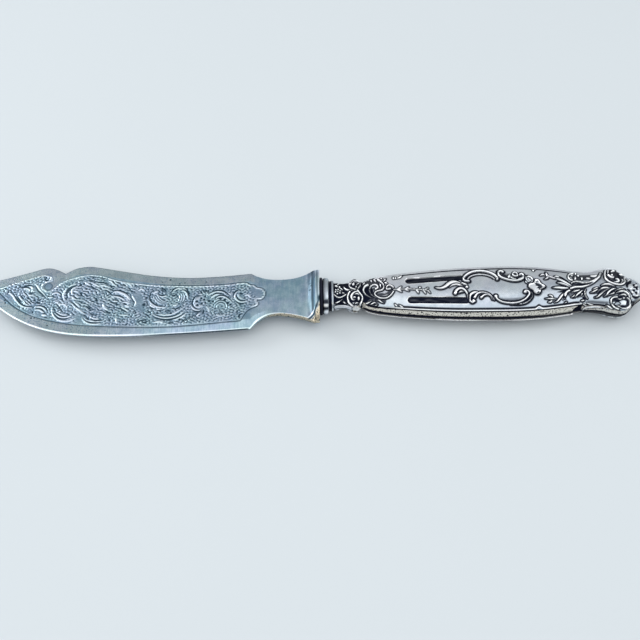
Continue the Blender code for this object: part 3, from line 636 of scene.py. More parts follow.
for step in range(5):
    ridges(0.36, [(-40.6 + 0.95 * step, -9.0 + 0.5 * step), (-39.2 + 0.95 * step, -7.4 + 0.5 * step)])
    cuts(0.36, [(-41.0 + 0.95 * step, -7.2 + 0.3 * step), (-39.6 + 0.95 * step, -8.8 + 0.3 * step)],
         [(-41.0 + 0.95 * step, -8.9 + 0.5 * step), (-39.7 + 0.95 * step, -7.3 + 0.5 * step)], soot_and_shade=0.8)

# Big lobe of nested arcs, and the volute at the end of the panel
ridges(0.48, [(-33.3, 0.3), (-32.4, 1.1), (-31.4, 1.55), (-30.2, 1.7), (-29.2, 1.6), (-28.2, 1.0)],
       [(-32.5, -0.7), (-31.8, 0.2), (-31.0, 0.75), (-29.8, 0.85)],
       [(-30.9, -0.7), (-30.3, -0.05), (-29.2, 0.05), (-28.2, -0.2), (-27.3, -0.9), (-26.1, -2.0)],
       [(-27.2, 1.2), (-26.6, 0.5)],
       [(-24.4, 1.8), (-25.0, 1.2), (-25.3, 0.4), (-25.2, -0.4), (-24.7, -1.2), (-23.8, -1.9),
        (-22.8, -2.0), (-21.6, -1.7)], [(-22.4, 0.3), (-21.4, 0.4), (-20.5, -0.6)], polish_and_highlight=0.62)
ridges(0.8, [(-24.3, 0.8), (-24.2, 0.0), (-23.5, -0.7), (-22.8, -1.0)], polish_and_highlight=0.35)
ridges(0.36, arc((-29.4, -3.4), 1.1, 200, -40), arc((-29.4, -3.4), 1.8, 190, -60),
       arc((-29.4, -3.4), 2.6, 180, -30), arc((-29.4, -3.6), 3.0, 300, 210), polish_and_highlight=0.42)
cuts(0.52, [(-33.2, 1.1), (-32.2, 1.8), (-31.0, 2.2), (-30.0, 2.25), (-28.8, 2.0), (-27.5, 1.1),
            (-26.6, 0.1)], [(-32.4, 0.2), (-31.6, 0.9), (-30.6, 1.25), (-28.6, 1.0)],
     [(-31.3, -1.0), (-30.7, 0.0), (-29.7, 0.5), (-28.4, 0.35), (-27.3, -0.4), (-25.9, -1.8)],
     [(-23.9, 2.5), (-25.0, 1.9), (-25.7, 0.7), (-25.7, -0.5)],
     [(-25.2, -1.3), (-24.4, -2.1), (-23.4, -2.5), (-22.0, -2.2)],
     [(-24.6, 1.2), (-24.8, 0.3), (-24.4, -0.7), (-23.4, -1.4), (-22.0, -1.3)])
cuts(0.38, arc((-29.4, -3.4), 1.45, 200, -40), arc((-29.4, -3.4), 2.2, 190, -60),
     [(-31.3, -5.4), (-30.7, -6.4)], [(-29.8, -5.0), (-28.7, -6.2)],
     [(-22.1, 0.1), (-22.5, -0.5), (-22.0, -1.0)], [(-24.3, -4.3), (-23.5, -5.0)], soot_and_shade=0.75)
pits((-29.6, -0.6, 0.7), (-28.3, -1.1, 0.7), (-27.4, -2.2, 0.7), (-26.6, -2.8, 0.6), (-32.9, -1.4, 0.65),
     (-31.8, -1.6, 0.6), (-23.5, 1.0, 0.6), (-23.7, -6.3, 0.55), (-23.9, -6.9, 0.55), (-24.5, -5.3, 0.5))
pits((-94.1, 0.0, 0.5), (-93.8, -1.0, 0.5), (-86.0, -4.6, 0.4), (-85.4, -6.3, 0.5), (-84.5, -6.3, 0.4),
     (-80.4, -8.8, 0.4), (-47.3, 5.5, 0.4), (-45.0, 6.3, 0.5), (-42.1, 4.8, 0.4), (-40.5, 5.1, 0.4),
     (-34.1, 5.3, 0.4))

# Edge of the panel: a dark cut line, with a bright thread inside it along the spine and round the end
NOTCH_DISC, NOTCH_REACH = (-81.7, 4.4), -80.4
bright_side = np.interp(show_side.x, [-97, -80, -24, -20], [2.5, -2.0, -2.0, -5.0])
bright_side = ease((show_side.y - bright_side) / 2)
ragged = 0.75 + 0.35 * pebbles
panel_cut = ease(1.3 - outline_gap / 0.24) * (1 - 0.65 * bright_side * (show_side.x < -48))
panel_thread = ease(1.2 - np.abs(outline_gap - 0.42) / 0.26) * in_panel
panel_thread = panel_thread * np.clip((0.1 + 0.75 * bright_side) * ragged, 0, 1)
disc = np.hypot(show_side.x - NOTCH_DISC[0], show_side.y - NOTCH_DISC[1])
disc_line = ease(1.3 - np.abs(disc - 1.15) / 0.25) * (show_side.x < NOTCH_REACH)
show_side.soot_and_shade = np.maximum(show_side.soot_and_shade, 0.7 * disc_line)
show_side.height = show_side.height * (1 - panel_cut) * (1 - panel_thread)
show_side.height = show_side.height - 0.07 * panel_cut + 0.08 * panel_thread
show_side.soot_and_shade = np.maximum(show_side.soot_and_shade * (1 - panel_thread), 0.85 * panel_cut)
show_side.polish_and_highlight = np.maximum(show_side.polish_and_highlight * (1 - panel_cut), panel_thread)

# Bolster: a curved crease parts the bright neck from the worn, pitted end of the flange, whose cream also
# stands in for a warm reflection. The concave neck gets painted highlight streaks and painted shade bands,
# and the crease a painted highlight and a painted shade line.
CREASE = [(-3.5, -8.2), (-2.6, -7.5), (-1.7, -6.4), (-0.9, -4.8), (-0.35, -3.3), (0.0, -2.2)]
crease = smooth_curve(CREASE, blade_xs)[:, None]
crease_gap = (crease - front_y) / np.sqrt(1 + np.gradient(crease[:, 0], blade_xs)[:, None] ** 2)
crease_gap = np.where((blade_xs > CREASE[0][0] - 0.6)[:, None], crease_gap, -9.0)
above_crease = ease(-crease_gap / 0.5) * (show_side.x < 0)
# Painted highlight streaks and painted shade bands across the concave neck before the flange.
PAINTED_HIGHLIGHTS = [(-3.9, 0.40, 0.12), (-1.2, 0.28, 0.5), (-0.2, 0.18, 0.8)]
SHADES = [(-3.0, 0.50, 0.42), (-2.1, 0.60, 0.75), (-0.6, 0.18, 0.75)]
for at, half, gain in PAINTED_HIGHLIGHTS:
    painted_highlight = gain * ease(1.2 - np.abs(show_side.x - at) / half) * above_crease
    show_side.polish_and_highlight = np.maximum(show_side.polish_and_highlight, painted_highlight)
for at, half, gain in SHADES:
    shade = gain * ease(1.2 - np.abs(show_side.x - at) / half) * above_crease
    show_side.soot_and_shade = np.maximum(show_side.soot_and_shade, shade)
    show_side.polish_and_highlight = show_side.polish_and_highlight * (1 - shade)
# Dark blotches in a band across the fillet, inside the painted shade.
blotches = ease(np.sin(5.1 * show_side.y) + np.sin(8.7 * show_side.y + 1))
blotches = blotches * ease((show_side.y - 0.3) / 0.5) * ease((5.2 - show_side.y) / 0.5)
blotch_gap = np.abs(show_side.x + 2.6 - 0.3 * np.sin(3 * show_side.y))
show_side.soot_and_shade = np.maximum(show_side.soot_and_shade, blotches * ease(1.3 - blotch_gap / 0.45))
before_tang = show_side.x < 0
# Painted highlight along the lip beside the crease.
painted_lip_highlight = ease(1.2 - np.abs(crease_gap + 0.45) / 0.25) * before_tang * ease((-3.6 - show_side.y) / 2)
show_side.polish_and_highlight = np.maximum(show_side.polish_and_highlight, painted_lip_highlight)
# Painted shade line along the crease.
painted_crease_shade = 0.95 * ease(1.4 - np.abs(crease_gap - 0.1) / 0.3) * before_tang
show_side.soot_and_shade = np.maximum(show_side.soot_and_shade * (1 - show_side.polish_and_highlight), painted_crease_shade)

side_share = np.array([0.15, 0.5, 0.85])
spine_side = np.repeat(front_z[:, -1:], side_share.size, axis=1) * (1 - 2 * side_share)
edge_side = np.repeat(front_z[:, :1], side_share.size, axis=1) * (2 * side_share - 1)
blade_y = np.hstack([front_y, np.repeat(front_y[:, -1:], side_share.size, axis=1), back_y,
                     np.repeat(front_y[:, :1], side_share.size, axis=1)])
blade_z = np.hstack([front_z + show_side.height, spine_side, -back_z, edge_side])
blade_x = np.repeat(blade_xs[:, None], blade_y.shape[1], axis=1)
row_count, ring_count = blade_x.shape
blade_faces = quads(row_count, ring_count, closed=True).tolist()
blade_faces.append(list(range(ring_count)))
blade_faces.append(list(range((row_count - 1) * ring_count, row_count * ring_count)))
on_neck = ease((blade_xs - SHOULDER_X) / 2)[:, None]
spine_bevel = (front_share > SPINE_SHARE) * (1 - on_neck)
edge_bevel = (front_share < EDGE_SHARE) * (1 - on_neck)
# Painted highlight along the cutting edge, and along the neck's lower front edge above the crease.
edge_highlight = ease((EDGE_HIGHLIGHT - front_share) / EDGE_HIGHLIGHT * 3) * np.ones_like(on_neck)
edge_highlight = np.maximum(edge_highlight, ease((0.036 - front_share) / 0.012) * on_neck * (crease_gap < 0))
left_share = ease((-40 - blade_xs) / 35)[:, None]
low_neck = ease((1.5 - show_side.y) / 5) * on_neck
front_tarnish_and_highlight = 0.93 - 0.05 * spine_bevel + (0.14 * left_share - 0.09) * edge_bevel - 0.10 * low_neck
show_side.soot_and_shade = np.maximum(show_side.soot_and_shade, 0.36 * left_share * edge_bevel * (1 - edge_highlight))
show_side.soot_and_shade[:, -2:] = np.maximum(show_side.soot_and_shade[:, -2:], 0.45 * (1 - on_neck))
in_notch = ease((show_side.y - 2.6) / 0.4) * ease((show_side.x + 85) / 1) * ease((-75 - show_side.x) / 1)
in_notch = in_notch * ~in_panel * (disc > 1.3)
spine_bevel = np.maximum(spine_bevel, in_notch)
front_tarnish_and_highlight = front_tarnish_and_highlight * (1 - show_side.polish_and_highlight) * (1 - edge_highlight)
plain = np.zeros((row_count, blade_y.shape[1] - front_share.size))
blade_tarnish_and_highlight = np.hstack([front_tarnish_and_highlight, plain + 0.6])
blade_soot_and_shade = np.hstack([show_side.soot_and_shade, plain])
# Worn, pitted cream below the crease and on the lower side of the neck, also standing in for a warm
# reflection of the floor, and worn bevels.
worn_and_reflecting_below_crease = ease((crease_gap - 0.3) / 0.4) * before_tang
worn_bevels = 0.20 * spine_bevel + 0.26 * left_share * edge_bevel
worn_and_reflecting_sides = np.hstack([np.maximum(worn_and_reflecting_below_crease, worn_bevels), plain])
worn_and_reflecting_sides[:, :3] = np.maximum(worn_and_reflecting_sides[:, :3], (ease((blade_xs + 15) / 4) * (blade_xs < 0))[:, None])
edge_columns = slice(-side_share.size, None)
worn_and_reflecting_sides[:, edge_columns] = (ease((blade_xs + 18) / 4) * (blade_xs < 0))[:, None]
# Painted shade on the back part of the neck's lower side, and a painted shadow line under the cutting edge
# near the heel.
blade_soot_and_shade[:, edge_columns.start] = 0.6 * ease((blade_xs + 20) / 3)
painted_edge_shadow = 0.95 * (ease((blade_xs + 60) / 16) * (1 - ease((blade_xs + 21.5) / 1)))[:, None]
blade_soot_and_shade[:, edge_columns] = np.maximum(blade_soot_and_shade[:, edge_columns], painted_edge_shadow)
blade_soot_and_shade[:, :2] = np.maximum(blade_soot_and_shade[:, :2], painted_edge_shadow)
# The worn colour is a cream that also stands in for a warm reflection of the floor.
BLADE_METAL = worn_metal("worn_plate", (0.84, 0.95, 1.0, 1), (0.17, 0.26, 0.335, 1), (0.015, 0.036, 0.055, 1),
                         (0.58, 0.52, 0.40, 1), 0.32, (3.0, 0.3, 1.0), 0.05)
blade_places = np.stack([blade_x, blade_y, blade_z], axis=-1).reshape(-1, 3)
blade_marks = {"soot_and_shade": blade_soot_and_shade.ravel(), "side": worn_and_reflecting_sides.ravel(), "tarnish_and_painted_light": blade_tarnish_and_highlight.ravel()}
blade = make_piece("forged_blade", blade_places, blade_faces, blade_marks, BLADE_METAL, 45)
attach(blade, "root")
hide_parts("blade")

# Handle halves: two shells stamped from thin silver sheet and soldered edge to edge.
# One die strikes the rococo ornament into both halves, and the recesses were blackened to show it up.
shell_low, shell_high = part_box("front_shell")
MOUTH_X = (shell_low.x - AXIS[0]) / MM
END_X = (shell_high.x - AXIS[0]) / MM
HANDLE_HALF = (shell_high.y - shell_low.y) / 2 / MM
SWELL_HALF, MOUTH_HALF, MOUTH_DEPTH, END_HALF, END_DEPTH = 4.4, 4.6, 3.3, 1.0, 0.9
SEAM_HALF = (seam_high.z - seam_low.z) / 2 / MM
SHELL_WALL, BORDER_INSET, BORDER_LIMIT, BORDER_HEIGHT = 0.8, 1.1, 0.3, 0.68
HANDLE_NECK = [(0.024, 0.913, 0.88), (0.043, 0.951, 0.93), (0.069, 1.198, 1.09), (0.089, 1.0, 0.905)]
HANDLE_BODY = [(0.119, 0.640), (0.151, 0.720), (0.216, 0.817), (0.280, 0.886), (0.345, 0.937),
               (0.410, 0.972), (0.539, 1.0), (0.603, 0.989), (0.668, 0.943), (0.733, 0.852),
               (0.781, 0.772), (0.817, 0.752)]
UPPER_VOLUTE = [(0.862, 0.840), (0.889, 0.875), (0.908, 0.850), (0.927, 0.735), (0.938, 0.590),
                (0.949, 0.520), (0.962, 0.500), (0.978, 0.412), (0.991, 0.260)]
LOWER_VOLUTE = [(0.852, 0.790), (0.880, 0.880), (0.898, 0.922), (0.915, 0.935), (0.930, 0.880),
                (0.947, 0.710), (0.960, 0.575), (0.977, 0.430), (0.992, 0.292)]
HANDLE_SWELL = [(0.151, 0.74), (0.280, 0.84), (0.410, 0.94), (0.539, 1.0), (0.668, 0.97),
                (0.800, 0.88), (0.880, 0.93), (0.920, 0.90), (0.955, 0.74), (0.985, 0.48)]
RELIEF_SINK = 0.15
HANDLE_ROWS, DOME_COLUMNS, INNER_ROWS, INNER_COLUMNS = 660, 112, 90, 22
NECK_END, SWELL_END, VOLUTE_X = 12.6, 77.0, 84.6


def handle_skin(xs, rise, dome_count, inset):
    """Front half of the handle, drawn in by an inset: places, distance from the border, share of the wall."""
    u = (xs - MOUTH_X) / (END_X - MOUTH_X)
    neck_sides = [(0.0, MOUTH_HALF)] + [(at, wide * MOUTH_HALF) for at, wide, deep in HANDLE_NECK]
    neck_depths = [(0.0, MOUTH_DEPTH)] + [(at, deep * MOUTH_DEPTH) for at, wide, deep in HANDLE_NECK]
    sides = []
    for volute in (LOWER_VOLUTE, UPPER_VOLUTE):
        body = [(at, share * HANDLE_HALF) for at, share in HANDLE_BODY + volute]
        sides.append(smooth_curve(neck_sides + body + [(1.0, END_HALF)], u)[:, None] - inset)
    swell = [(at, share * SWELL_HALF) for at, share in HANDLE_SWELL]
    crown = smooth_curve(neck_depths + swell + [(1.0, END_DEPTH)], u)[:, None] - inset
    lower, upper = sides
    lower_border = lower - np.minimum(BORDER_INSET, lower * BORDER_LIMIT)
    upper_border = upper - np.minimum(BORDER_INSET, upper * BORDER_LIMIT)
    border = crown * BORDER_HEIGHT
    across = np.linspace(0, 1, dome_count)
    dome_y = -lower_border + (lower_border + upper_border) * across
    y = np.hstack([-lower + (lower - lower_border) * rise, dome_y,
                   (upper_border + (upper - upper_border) * (1 - rise[::-1]))])
    wall_z = SEAM_HALF + (border - SEAM_HALF) * rise
    z = np.hstack([wall_z, border + (crown - border) * (1 - (2 * across - 1) ** 2), wall_z[:, ::-1]])
    x = np.repeat(xs[:, None], y.shape[1], axis=1)
    wall = np.hstack([1 - rise, np.zeros(dome_count), 1 - rise[::-1]])
    return np.stack([x, y, z], axis=-1), np.minimum(y + lower_border, upper_border - y), np.tile(wall,
                                                                                                 (xs.size,
                                                                                                  1))


def petals(x, y, inner, outer, count, width, turn=0):
    """Leaves set round a centre."""
    angles = [2 * math.pi * index / count + math.radians(turn) for index in range(count)]
    return [leaf(width, (x + inner * math.cos(a), y + inner * math.sin(a)),
                             (x + (inner + outer) / 2 * math.cos(a), y + (inner + outer) / 2 * math.sin(a)),
                             (x + outer * math.cos(a), y + outer * math.sin(a))) for a in angles]


def zip_rims(first, second):
    """Triangles between two rows of corners with unlike counts."""
    faces = []
    i = j = 0
    while i < len(first) - 1 or j < len(second) - 1:
        first_is_behind = (i + 1) * (len(second) - 1) <= (j + 1) * (len(first) - 1)
        if j == len(second) - 1 or (i < len(first) - 1 and first_is_behind):
            faces.append((first[i], first[i + 1], second[j]))
            i += 1
        else:
            faces.append((first[i], second[j + 1], second[j]))
            j += 1
    return faces


WALL_RISE = np.array([0, 0.05, 0.09, 0.11, 0.24, 0.36, 0.38, 0.46, 0.54, 0.62, 0.70, 0.76, 0.79, 0.87,
                      0.94, 0.97])
outer_xs = np.linspace(MOUTH_X, END_X, HANDLE_ROWS)
outer, border_gap, wall_share = handle_skin(outer_xs, WALL_RISE, DOME_COLUMNS, 0.0)
steps = np.linalg.norm(np.diff(outer, axis=1), axis=-1)
spread = outer[..., 1].copy()
for column in range(WALL_RISE.size - 1, -1, -1):
    spread[:, column] = spread[:, column + 1] - steps[:, column]
    spread[:, -1 - column] = spread[:, -2 - column] + steps[:, -1 - column]
die = StruckFace(outer[..., 0], spread)

FULLNESS, MOAT_GAIN, HEIGHT_GAIN = 1.12, 1.65, 1.2


def stamp(strokes, height, moat, depth, soot_and_shade=1.0, polish_and_highlight=1.0):
    """Strike strokes of the die, fuller and deeper than they were drawn."""
    strokes = [(kind, width * FULLNESS, points) for kind, width, points in strokes]
    strike(die, strokes, height * HEIGHT_GAIN, moat * MOAT_GAIN, depth, soot_and_shade, polish_and_highlight=polish_and_highlight)


def hollow(width, *lines, soot_and_shade=1.0, depth=0.14):
    """Sink blackened lines between the strokes."""
    sink(die, [leaf(width, *line) for line in lines], depth, soot_and_shade, rim=0.16)


# Grounds that were blackened as a whole, and the two long flutes
sink(die, [cord(7.4, (4.0, -0.3), (12.4, -0.3)), cord(3.0, (5.0, -3.0), (8.0, -3.0))], 0.08, 1.0, rim=0.3)
sink(die, [cord(1.9, (13.6, -2.6), (15.4, -3.0), (19.0, -3.6)), cord(3.0, (14.8, 2.9), (17.2, 2.6))], 0.10,
     0.9, rim=0.4)
sink(die, [cord(3.0, (76.4, 3.1), (79.6, 3.2), (83.0, 3.2)),
           cord(1.6, (75.2, 0.6), (78.0, 0.4), (80.0, 0.7))], 0.12, 0.9, rim=0.6)
sink(die, [cord(2.6, (74.2, -2.6), (77.6, -2.6))], 0.10, 0.75, rim=0.5)
UPPER_FLUTE = [(26.7, 3.05), (31, 3.2), (36, 3.45), (42.6, 3.6)]
LOWER_FLUTE = [(27.0, -3.55), (31, -3.7), (36, -3.9), (43.2, -4.2)]
strike(die, [cord(3.0, *UPPER_FLUTE), cord(3.0, *LOWER_FLUTE)], 0.08, 0.3, 0.0, soot_and_shade=0.0, rim=0.5)
sink(die, [cord(2.25, *UPPER_FLUTE), cord(2.15, *LOWER_FLUTE)], 0.45, 1.0, rim=0.22)
flute_floor = measure(die, [cord(0.9, *UPPER_FLUTE), cord(0.9, *LOWER_FLUTE)], 0.5)[0]
die.soot_and_shade -= 0.06 * ease(0.5 - flute_floor / 0.5) * (0.6 + 0.4 * vermicelli(die, 1.6, 90, 30, 4))

# Neck: a rosette and its ribbon between the mouth and two facing volutes
stamp(petals(5.5, -0.1, 0.55, 0.95, 6, 0.5, 20) + [bead(5.5, -0.1, 0.45)], 0.2, 0.1, 0.08, polish_and_highlight=0.75)
stamp([leaf(0.55, (4.7, 2.1), (5.5, 1.65)), leaf(0.5, (5.8, 1.8), (6.3, 1.2)),
       leaf(0.42, (5.4, 2.6), (5.9, 3.1)), leaf(0.4, (6.2, 1.1), (7.0, 0.4)),
       leaf(0.4, (6.6, -0.4), (7.5, -0.85))], 0.26, 0.28, 0.10)
stamp([cord(0.42, (3.9, -0.95), (4.5, -1.45), (5.2, -1.9), (5.9, -2.0), (6.8, -1.75), (7.8, -1.2),
            (8.6, -0.8)), leaf(0.62, (7.1, 1.8), (7.6, 0.9), (8.3, 0.3), (9.2, 0.0), (10.4, 0.0)),
       leaf(0.36, (4.4, -3.8), (5.3, -3.3), (6.1, -2.9), (6.9, -2.3)),
       leaf(0.40, (6.9, -2.9), (7.4, -3.5), (7.9, -3.9))], 0.28, 0.26, 0.10)
stamp([cord(0.46, (9.5, 3.1), (9.0, 2.4), (8.9, 1.7), (9.2, 1.0), (9.8, 0.5), (10.5, 0.15), (11.1, 0.3),
            (11.6, 0.8), (12.0, 1.5), (12.3, 2.3), (12.3, 3.2)),
       comma(0.75, (10.1, 2.1), (10.3, 2.6), (10.1, 3.0)), bead(10.9, 1.1, 0.5),
       leaf(0.42, (11.1, 1.9), (11.6, 2.6), (11.9, 3.3))], 0.32, 0.28, 0.12)
stamp([leaf(0.42, (9.3, 3.0), (9.8, 3.6), (10.6, 4.0), (11.4, 3.9), (12.0, 3.6), (12.3, 3.2))], 0.08, 0.15,
      0.06, polish_and_highlight=0.6)
stamp([cord(0.48, (9.0, -0.4), (8.5, -1.3), (8.3, -2.2), (8.5, -3.1), (8.9, -3.8), (9.5, -4.5),
            (10.1, -5.3), (10.5, -6.1)),
       cord(0.48, (11.3, 0.0), (12.0, -0.9), (12.55, -1.6), (12.7, -2.3), (12.5, -3.2), (12.0, -4.1),
            (11.8, -5.2)),
       leaf(0.6, (11.9, -0.5), (10.9, -0.6), (10.2, -0.9), (9.6, -1.5), (9.4, -2.1), (9.6, -2.8),
            (10.1, -3.15), (10.6, -2.9)), leaf(0.5, (10.4, -1.5), (11.2, -1.2), (11.9, -1.5)),
       leaf(0.5, (10.0, -2.7), (10.3, -2.3), (10.8, -2.5)), leaf(0.5, (11.6, -1.9), (11.6, -3.2)),
       leaf(0.42, (10.4, -4.3), (11.0, -3.9), (11.6, -3.8))], 0.32, 0.28, 0.12)
stamp([cord(0.95, (4.7, -5.2), (5.8, -4.85), (7.2, -4.85), (8.6, -5.3), (9.6, -5.9))], 0.15, 0.2, 0.08,
      soot_and_shade=0.9, polish_and_highlight=0.4)
stamp([leaf(1.9, (9.9, -6.0), (11.1, -5.7), (12.1, -6.0))], 0.15, 0.12, 0.06, soot_and_shade=0.6, polish_and_highlight=0.6)
hollow(0.7, [(12.65, 3.5), (12.6, 2.4), (12.7, 1.2)], [(12.7, -3.4), (12.55, -4.8), (12.6, -6.4)])
hollow(0.6, [(11.0, -4.4), (11.2, -5.0)])

# Three commas that roll into one another, with leaves above and a sprig below
stamp([leaf(0.42, (13.0, 2.4), (13.7, 3.4)), leaf(0.45, (15.3, 4.3), (15.8, 3.3)),
       leaf(0.45, (16.1, 4.6), (16.6, 3.9), (17.0, 3.1)),
       leaf(0.38, (17.8, 2.7), (18.2, 1.9), (18.2, 0.8)), leaf(0.42, (19.1, 3.2), (20.0, 4.3)),
       leaf(0.5, (19.5, 2.75), (20.3, 2.4)), bead(18.6, 4.5, 0.5)], 0.25, 0.28, 0.10)
stamp([leaf(0.45, (12.9, -3.7), (13.8, -3.9), (14.6, -3.7), (15.4, -3.2)),
       leaf(0.45, (14.8, -4.4), (15.6, -4.1), (16.3, -3.85), (16.8, -4.3)),
       leaf(0.45, (16.7, -3.1), (17.6, -3.3), (18.2, -3.8), (19.0, -4.2)),
       leaf(0.36, (16.2, -4.8), (17.2, -4.5))], 0.25, 0.28, 0.10)
stamp([comma(0.72, (14.4, 2.1), (13.6, 1.6), (13.2, 0.8), (13.1, 0.0), (13.4, -0.8), (14.0, -1.5),
             (14.8, -2.05), (15.6, -2.4)),
       comma(0.6, (16.7, 0.4), (17.3, 0.8), (17.3, 1.5), (16.7, 2.0), (15.9, 1.9), (15.2, 1.3),
             (14.9, 0.2), (15.1, -0.8), (15.7, -1.7), (17.0, -2.5)),
       cord(0.46, (17.5, 4.0), (18.1, 3.4), (18.7, 2.6), (19.1, 1.7), (19.1, 0.8), (18.7, 0.1),
            (18.0, -0.2), (17.2, -0.35), (16.6, -0.7), (16.4, -1.3), (16.8, -1.9), (17.4, -2.35),
            (18.2, -2.65), (19.1, -2.75), (20.0, -2.6), (20.8, -2.1), (21.5, -1.3), (22.0, -0.5),
            (22.1, 0.2), (21.8, 1.0), (21.2, 1.55), (20.5, 1.5), (20.0, 1.0), (19.95, 0.35), (20.4, 0.1),
            (21.1, 0.3))], 0.36, 0.30, 0.14)
hollow(0.7, [(14.2, 1.3), (13.9, 0.3), (14.3, -0.7), (15.1, -1.7)],
       [(16.3, 1.3), (15.8, 0.4), (15.9, -0.6), (16.2, -1.4)], soot_and_shade=0.95)
hollow(1.6, [(16.9, -1.1), (18.2, -1.5), (19.8, -1.5), (21.0, -0.7), (21.5, 0.2)], soot_and_shade=0.9)
stamp([leaf(0.32, (18.5, -1.0), (19.4, -1.05), (20.2, -0.9)),
       leaf(0.32, (18.3, -1.7), (19.4, -1.8), (20.4, -1.5))], 0.1, 0.1, 0.05, soot_and_shade=0.3, polish_and_highlight=0.5)

# Husk chain down the middle and the small sprigs beside it
HUSKS = [cord(0.36, (22.1, 0.0), (23.2, 0.0), (25.0, 0.05), (27.0, 0.0), (28.6, -0.15), (30.2, -0.35),
              (31.6, -0.6)), leaf(0.5, (23.0, 0.1), (23.8, 0.5), (24.4, 1.1)),
         leaf(0.5, (23.0, -0.1), (23.8, -0.4), (24.4, -0.9)),
         leaf(0.42, (25.2, 0.1), (25.9, 0.35), (26.6, 0.8)),
         leaf(0.42, (25.2, 0.0), (25.9, -0.3), (26.6, -0.7)), bead(29.85, 0.45, 0.55),
         leaf(0.5, (28.6, -0.3), (29.1, -0.8), (29.3, -1.5)), bead(32.1, 0.15, 0.42),
         leaf(0.42, (30.6, -0.5), (31.1, -1.0), (31.4, -1.7)),
         leaf(0.42, (31.6, -0.4), (32.3, -0.9), (32.8, -1.6)),
         leaf(0.4, (31.0, -0.5), (31.7, -0.1), (32.1, 0.1))]
stamp(HUSKS, 0.22, 0.30, 0.08, soot_and_shade=0.9, polish_and_highlight=0.85)
stamp([leaf(0.5, (22.2, 4.9), (22.3, 4.0)), leaf(0.45, (22.9, 4.8), (22.9, 4.1)),
       leaf(0.5, (23.3, 4.2), (24.1, 4.6), (24.9, 5.4))], 0.22, 0.30, 0.10, soot_and_shade=0.9)
stamp([leaf(0.45, (22.1, -4.5), (22.9, -5.4)), leaf(0.45, (23.3, -4.8), (24.8, -5.9))], 0.22, 0.22, 0.10,
      soot_and_shade=0.9)
hollow(0.42, [(21.8, -4.8), (22.9, -6.0)], [(22.7, -4.7), (23.9, -5.95)], [(23.9, -4.7), (25.1, -5.6)])

# Cartouche: acanthus on its left, paired scrolls above and below a smooth shield
stamp([leaf(1.0, (34.5, 0.25), (35.4, -0.05), (36.4, 0.05), (37.4, 0.55), (38.4, 1.4), (39.5, 1.95),
            (40.6, 1.85), (41.6, 1.3), (42.5, 0.5), (43.6, -0.2))], 0.34, 0.42, 0.12)
stamp([leaf(0.6, (38.5, 0.1), (39.3, 0.75), (40.6, 1.05), (41.8, 0.7), (42.9, 0.0))], 0.36, 0.25, 0.10)
stamp([comma(0.9, (40.1, -1.9), (40.5, -1.0), (41.4, -0.35), (42.5, -0.5), (43.3, -1.4), (43.7, -2.6),
             (43.8, -3.9), (44.1, -4.6)), leaf(0.5, (41.1, -1.9), (41.7, -1.5), (42.7, -1.5))], 0.36, 0.42,
      0.14)
stamp([leaf(0.6, (42.2, 1.8), (43.0, 1.2), (43.9, 0.75)), bead(43.7, 0.05, 0.75)], 0.32, 0.28, 0.10)
stamp([cord(0.62, (44.4, 2.1), (43.5, 2.2), (43.0, 2.7), (43.1, 3.5), (43.8, 4.4), (44.8, 5.2),
            (46.1, 5.8), (47.8, 6.05), (49.5, 5.85), (51.0, 5.25), (52.2, 4.35), (53.0, 3.3),
            (52.9, 2.5))], 0.38, 0.52, 0.14, polish_and_highlight=0.62)
sink(die, [cord(0.82, (43.8, 3.0), (44.5, 4.05), (45.9, 4.95), (47.9, 5.3), (49.7, 5.05), (51.2, 4.35),
                (52.3, 3.2)),
           cord(0.78, (44.8, 3.0), (45.2, 3.5), (46.5, 4.1), (48.2, 4.25), (49.8, 3.95), (51.2, 3.2),
                (51.7, 2.7))], 0.14, 1.0, rim=0.16)
stamp([cord(0.3, (44.2, 2.9), (44.6, 3.55), (45.3, 4.15), (46.6, 4.65), (48.2, 4.8), (49.9, 4.5),
            (51.3, 3.8), (52.2, 2.8))], 0.05, 0.08, 0.06, soot_and_shade=0.5, polish_and_highlight=0.6)
stamp([leaf(0.75, (44.3, -3.6), (44.6, -2.5), (45.6, -1.85), (46.8, -1.75)),
       comma(0.7, (45.7, -3.4), (46.4, -2.4), (47.6, -1.9), (49.0, -2.05), (50.1, -2.6), (50.9, -3.5),
             (51.4, -4.4)),
       comma(0.65, (47.6, -3.5), (48.4, -2.85), (49.5, -2.65), (50.4, -3.15), (50.8, -4.2)),
       cord(0.5, (44.3, -3.4), (44.3, -4.4), (44.9, -4.95), (45.6, -4.6)), bead(45.3, -4.45, 0.85)], 0.36,
      0.40, 0.14)
sink(die, [leaf(2.8, (54.6, 4.6), (57.4, 3.6), (60.4, 3.6))], 0.06, 0.62, rim=0.6)
sink(die, [leaf(1.7, (54.5, 4.7), (55.2, 3.9), (56.2, 3.4)),
           leaf(1.5, (57.0, 3.3), (58.5, 3.1), (60.2, 3.6))], 0.10, 0.95, rim=0.3)
stamp([cord(0.55, (55.0, 5.4), (54.4, 5.8), (53.65, 5.4), (53.6, 4.3), (54.2, 3.3), (55.4, 2.6),
            (56.8, 2.1), (58.3, 1.9), (59.7, 2.2), (60.7, 2.95), (60.9, 3.8), (60.5, 4.55), (59.9, 4.25)),
       leaf(0.85, (57.4, 2.2), (58.8, 2.15), (60.0, 2.6), (60.8, 3.4))], 0.36, 0.50, 0.14, polish_and_highlight=0.7)
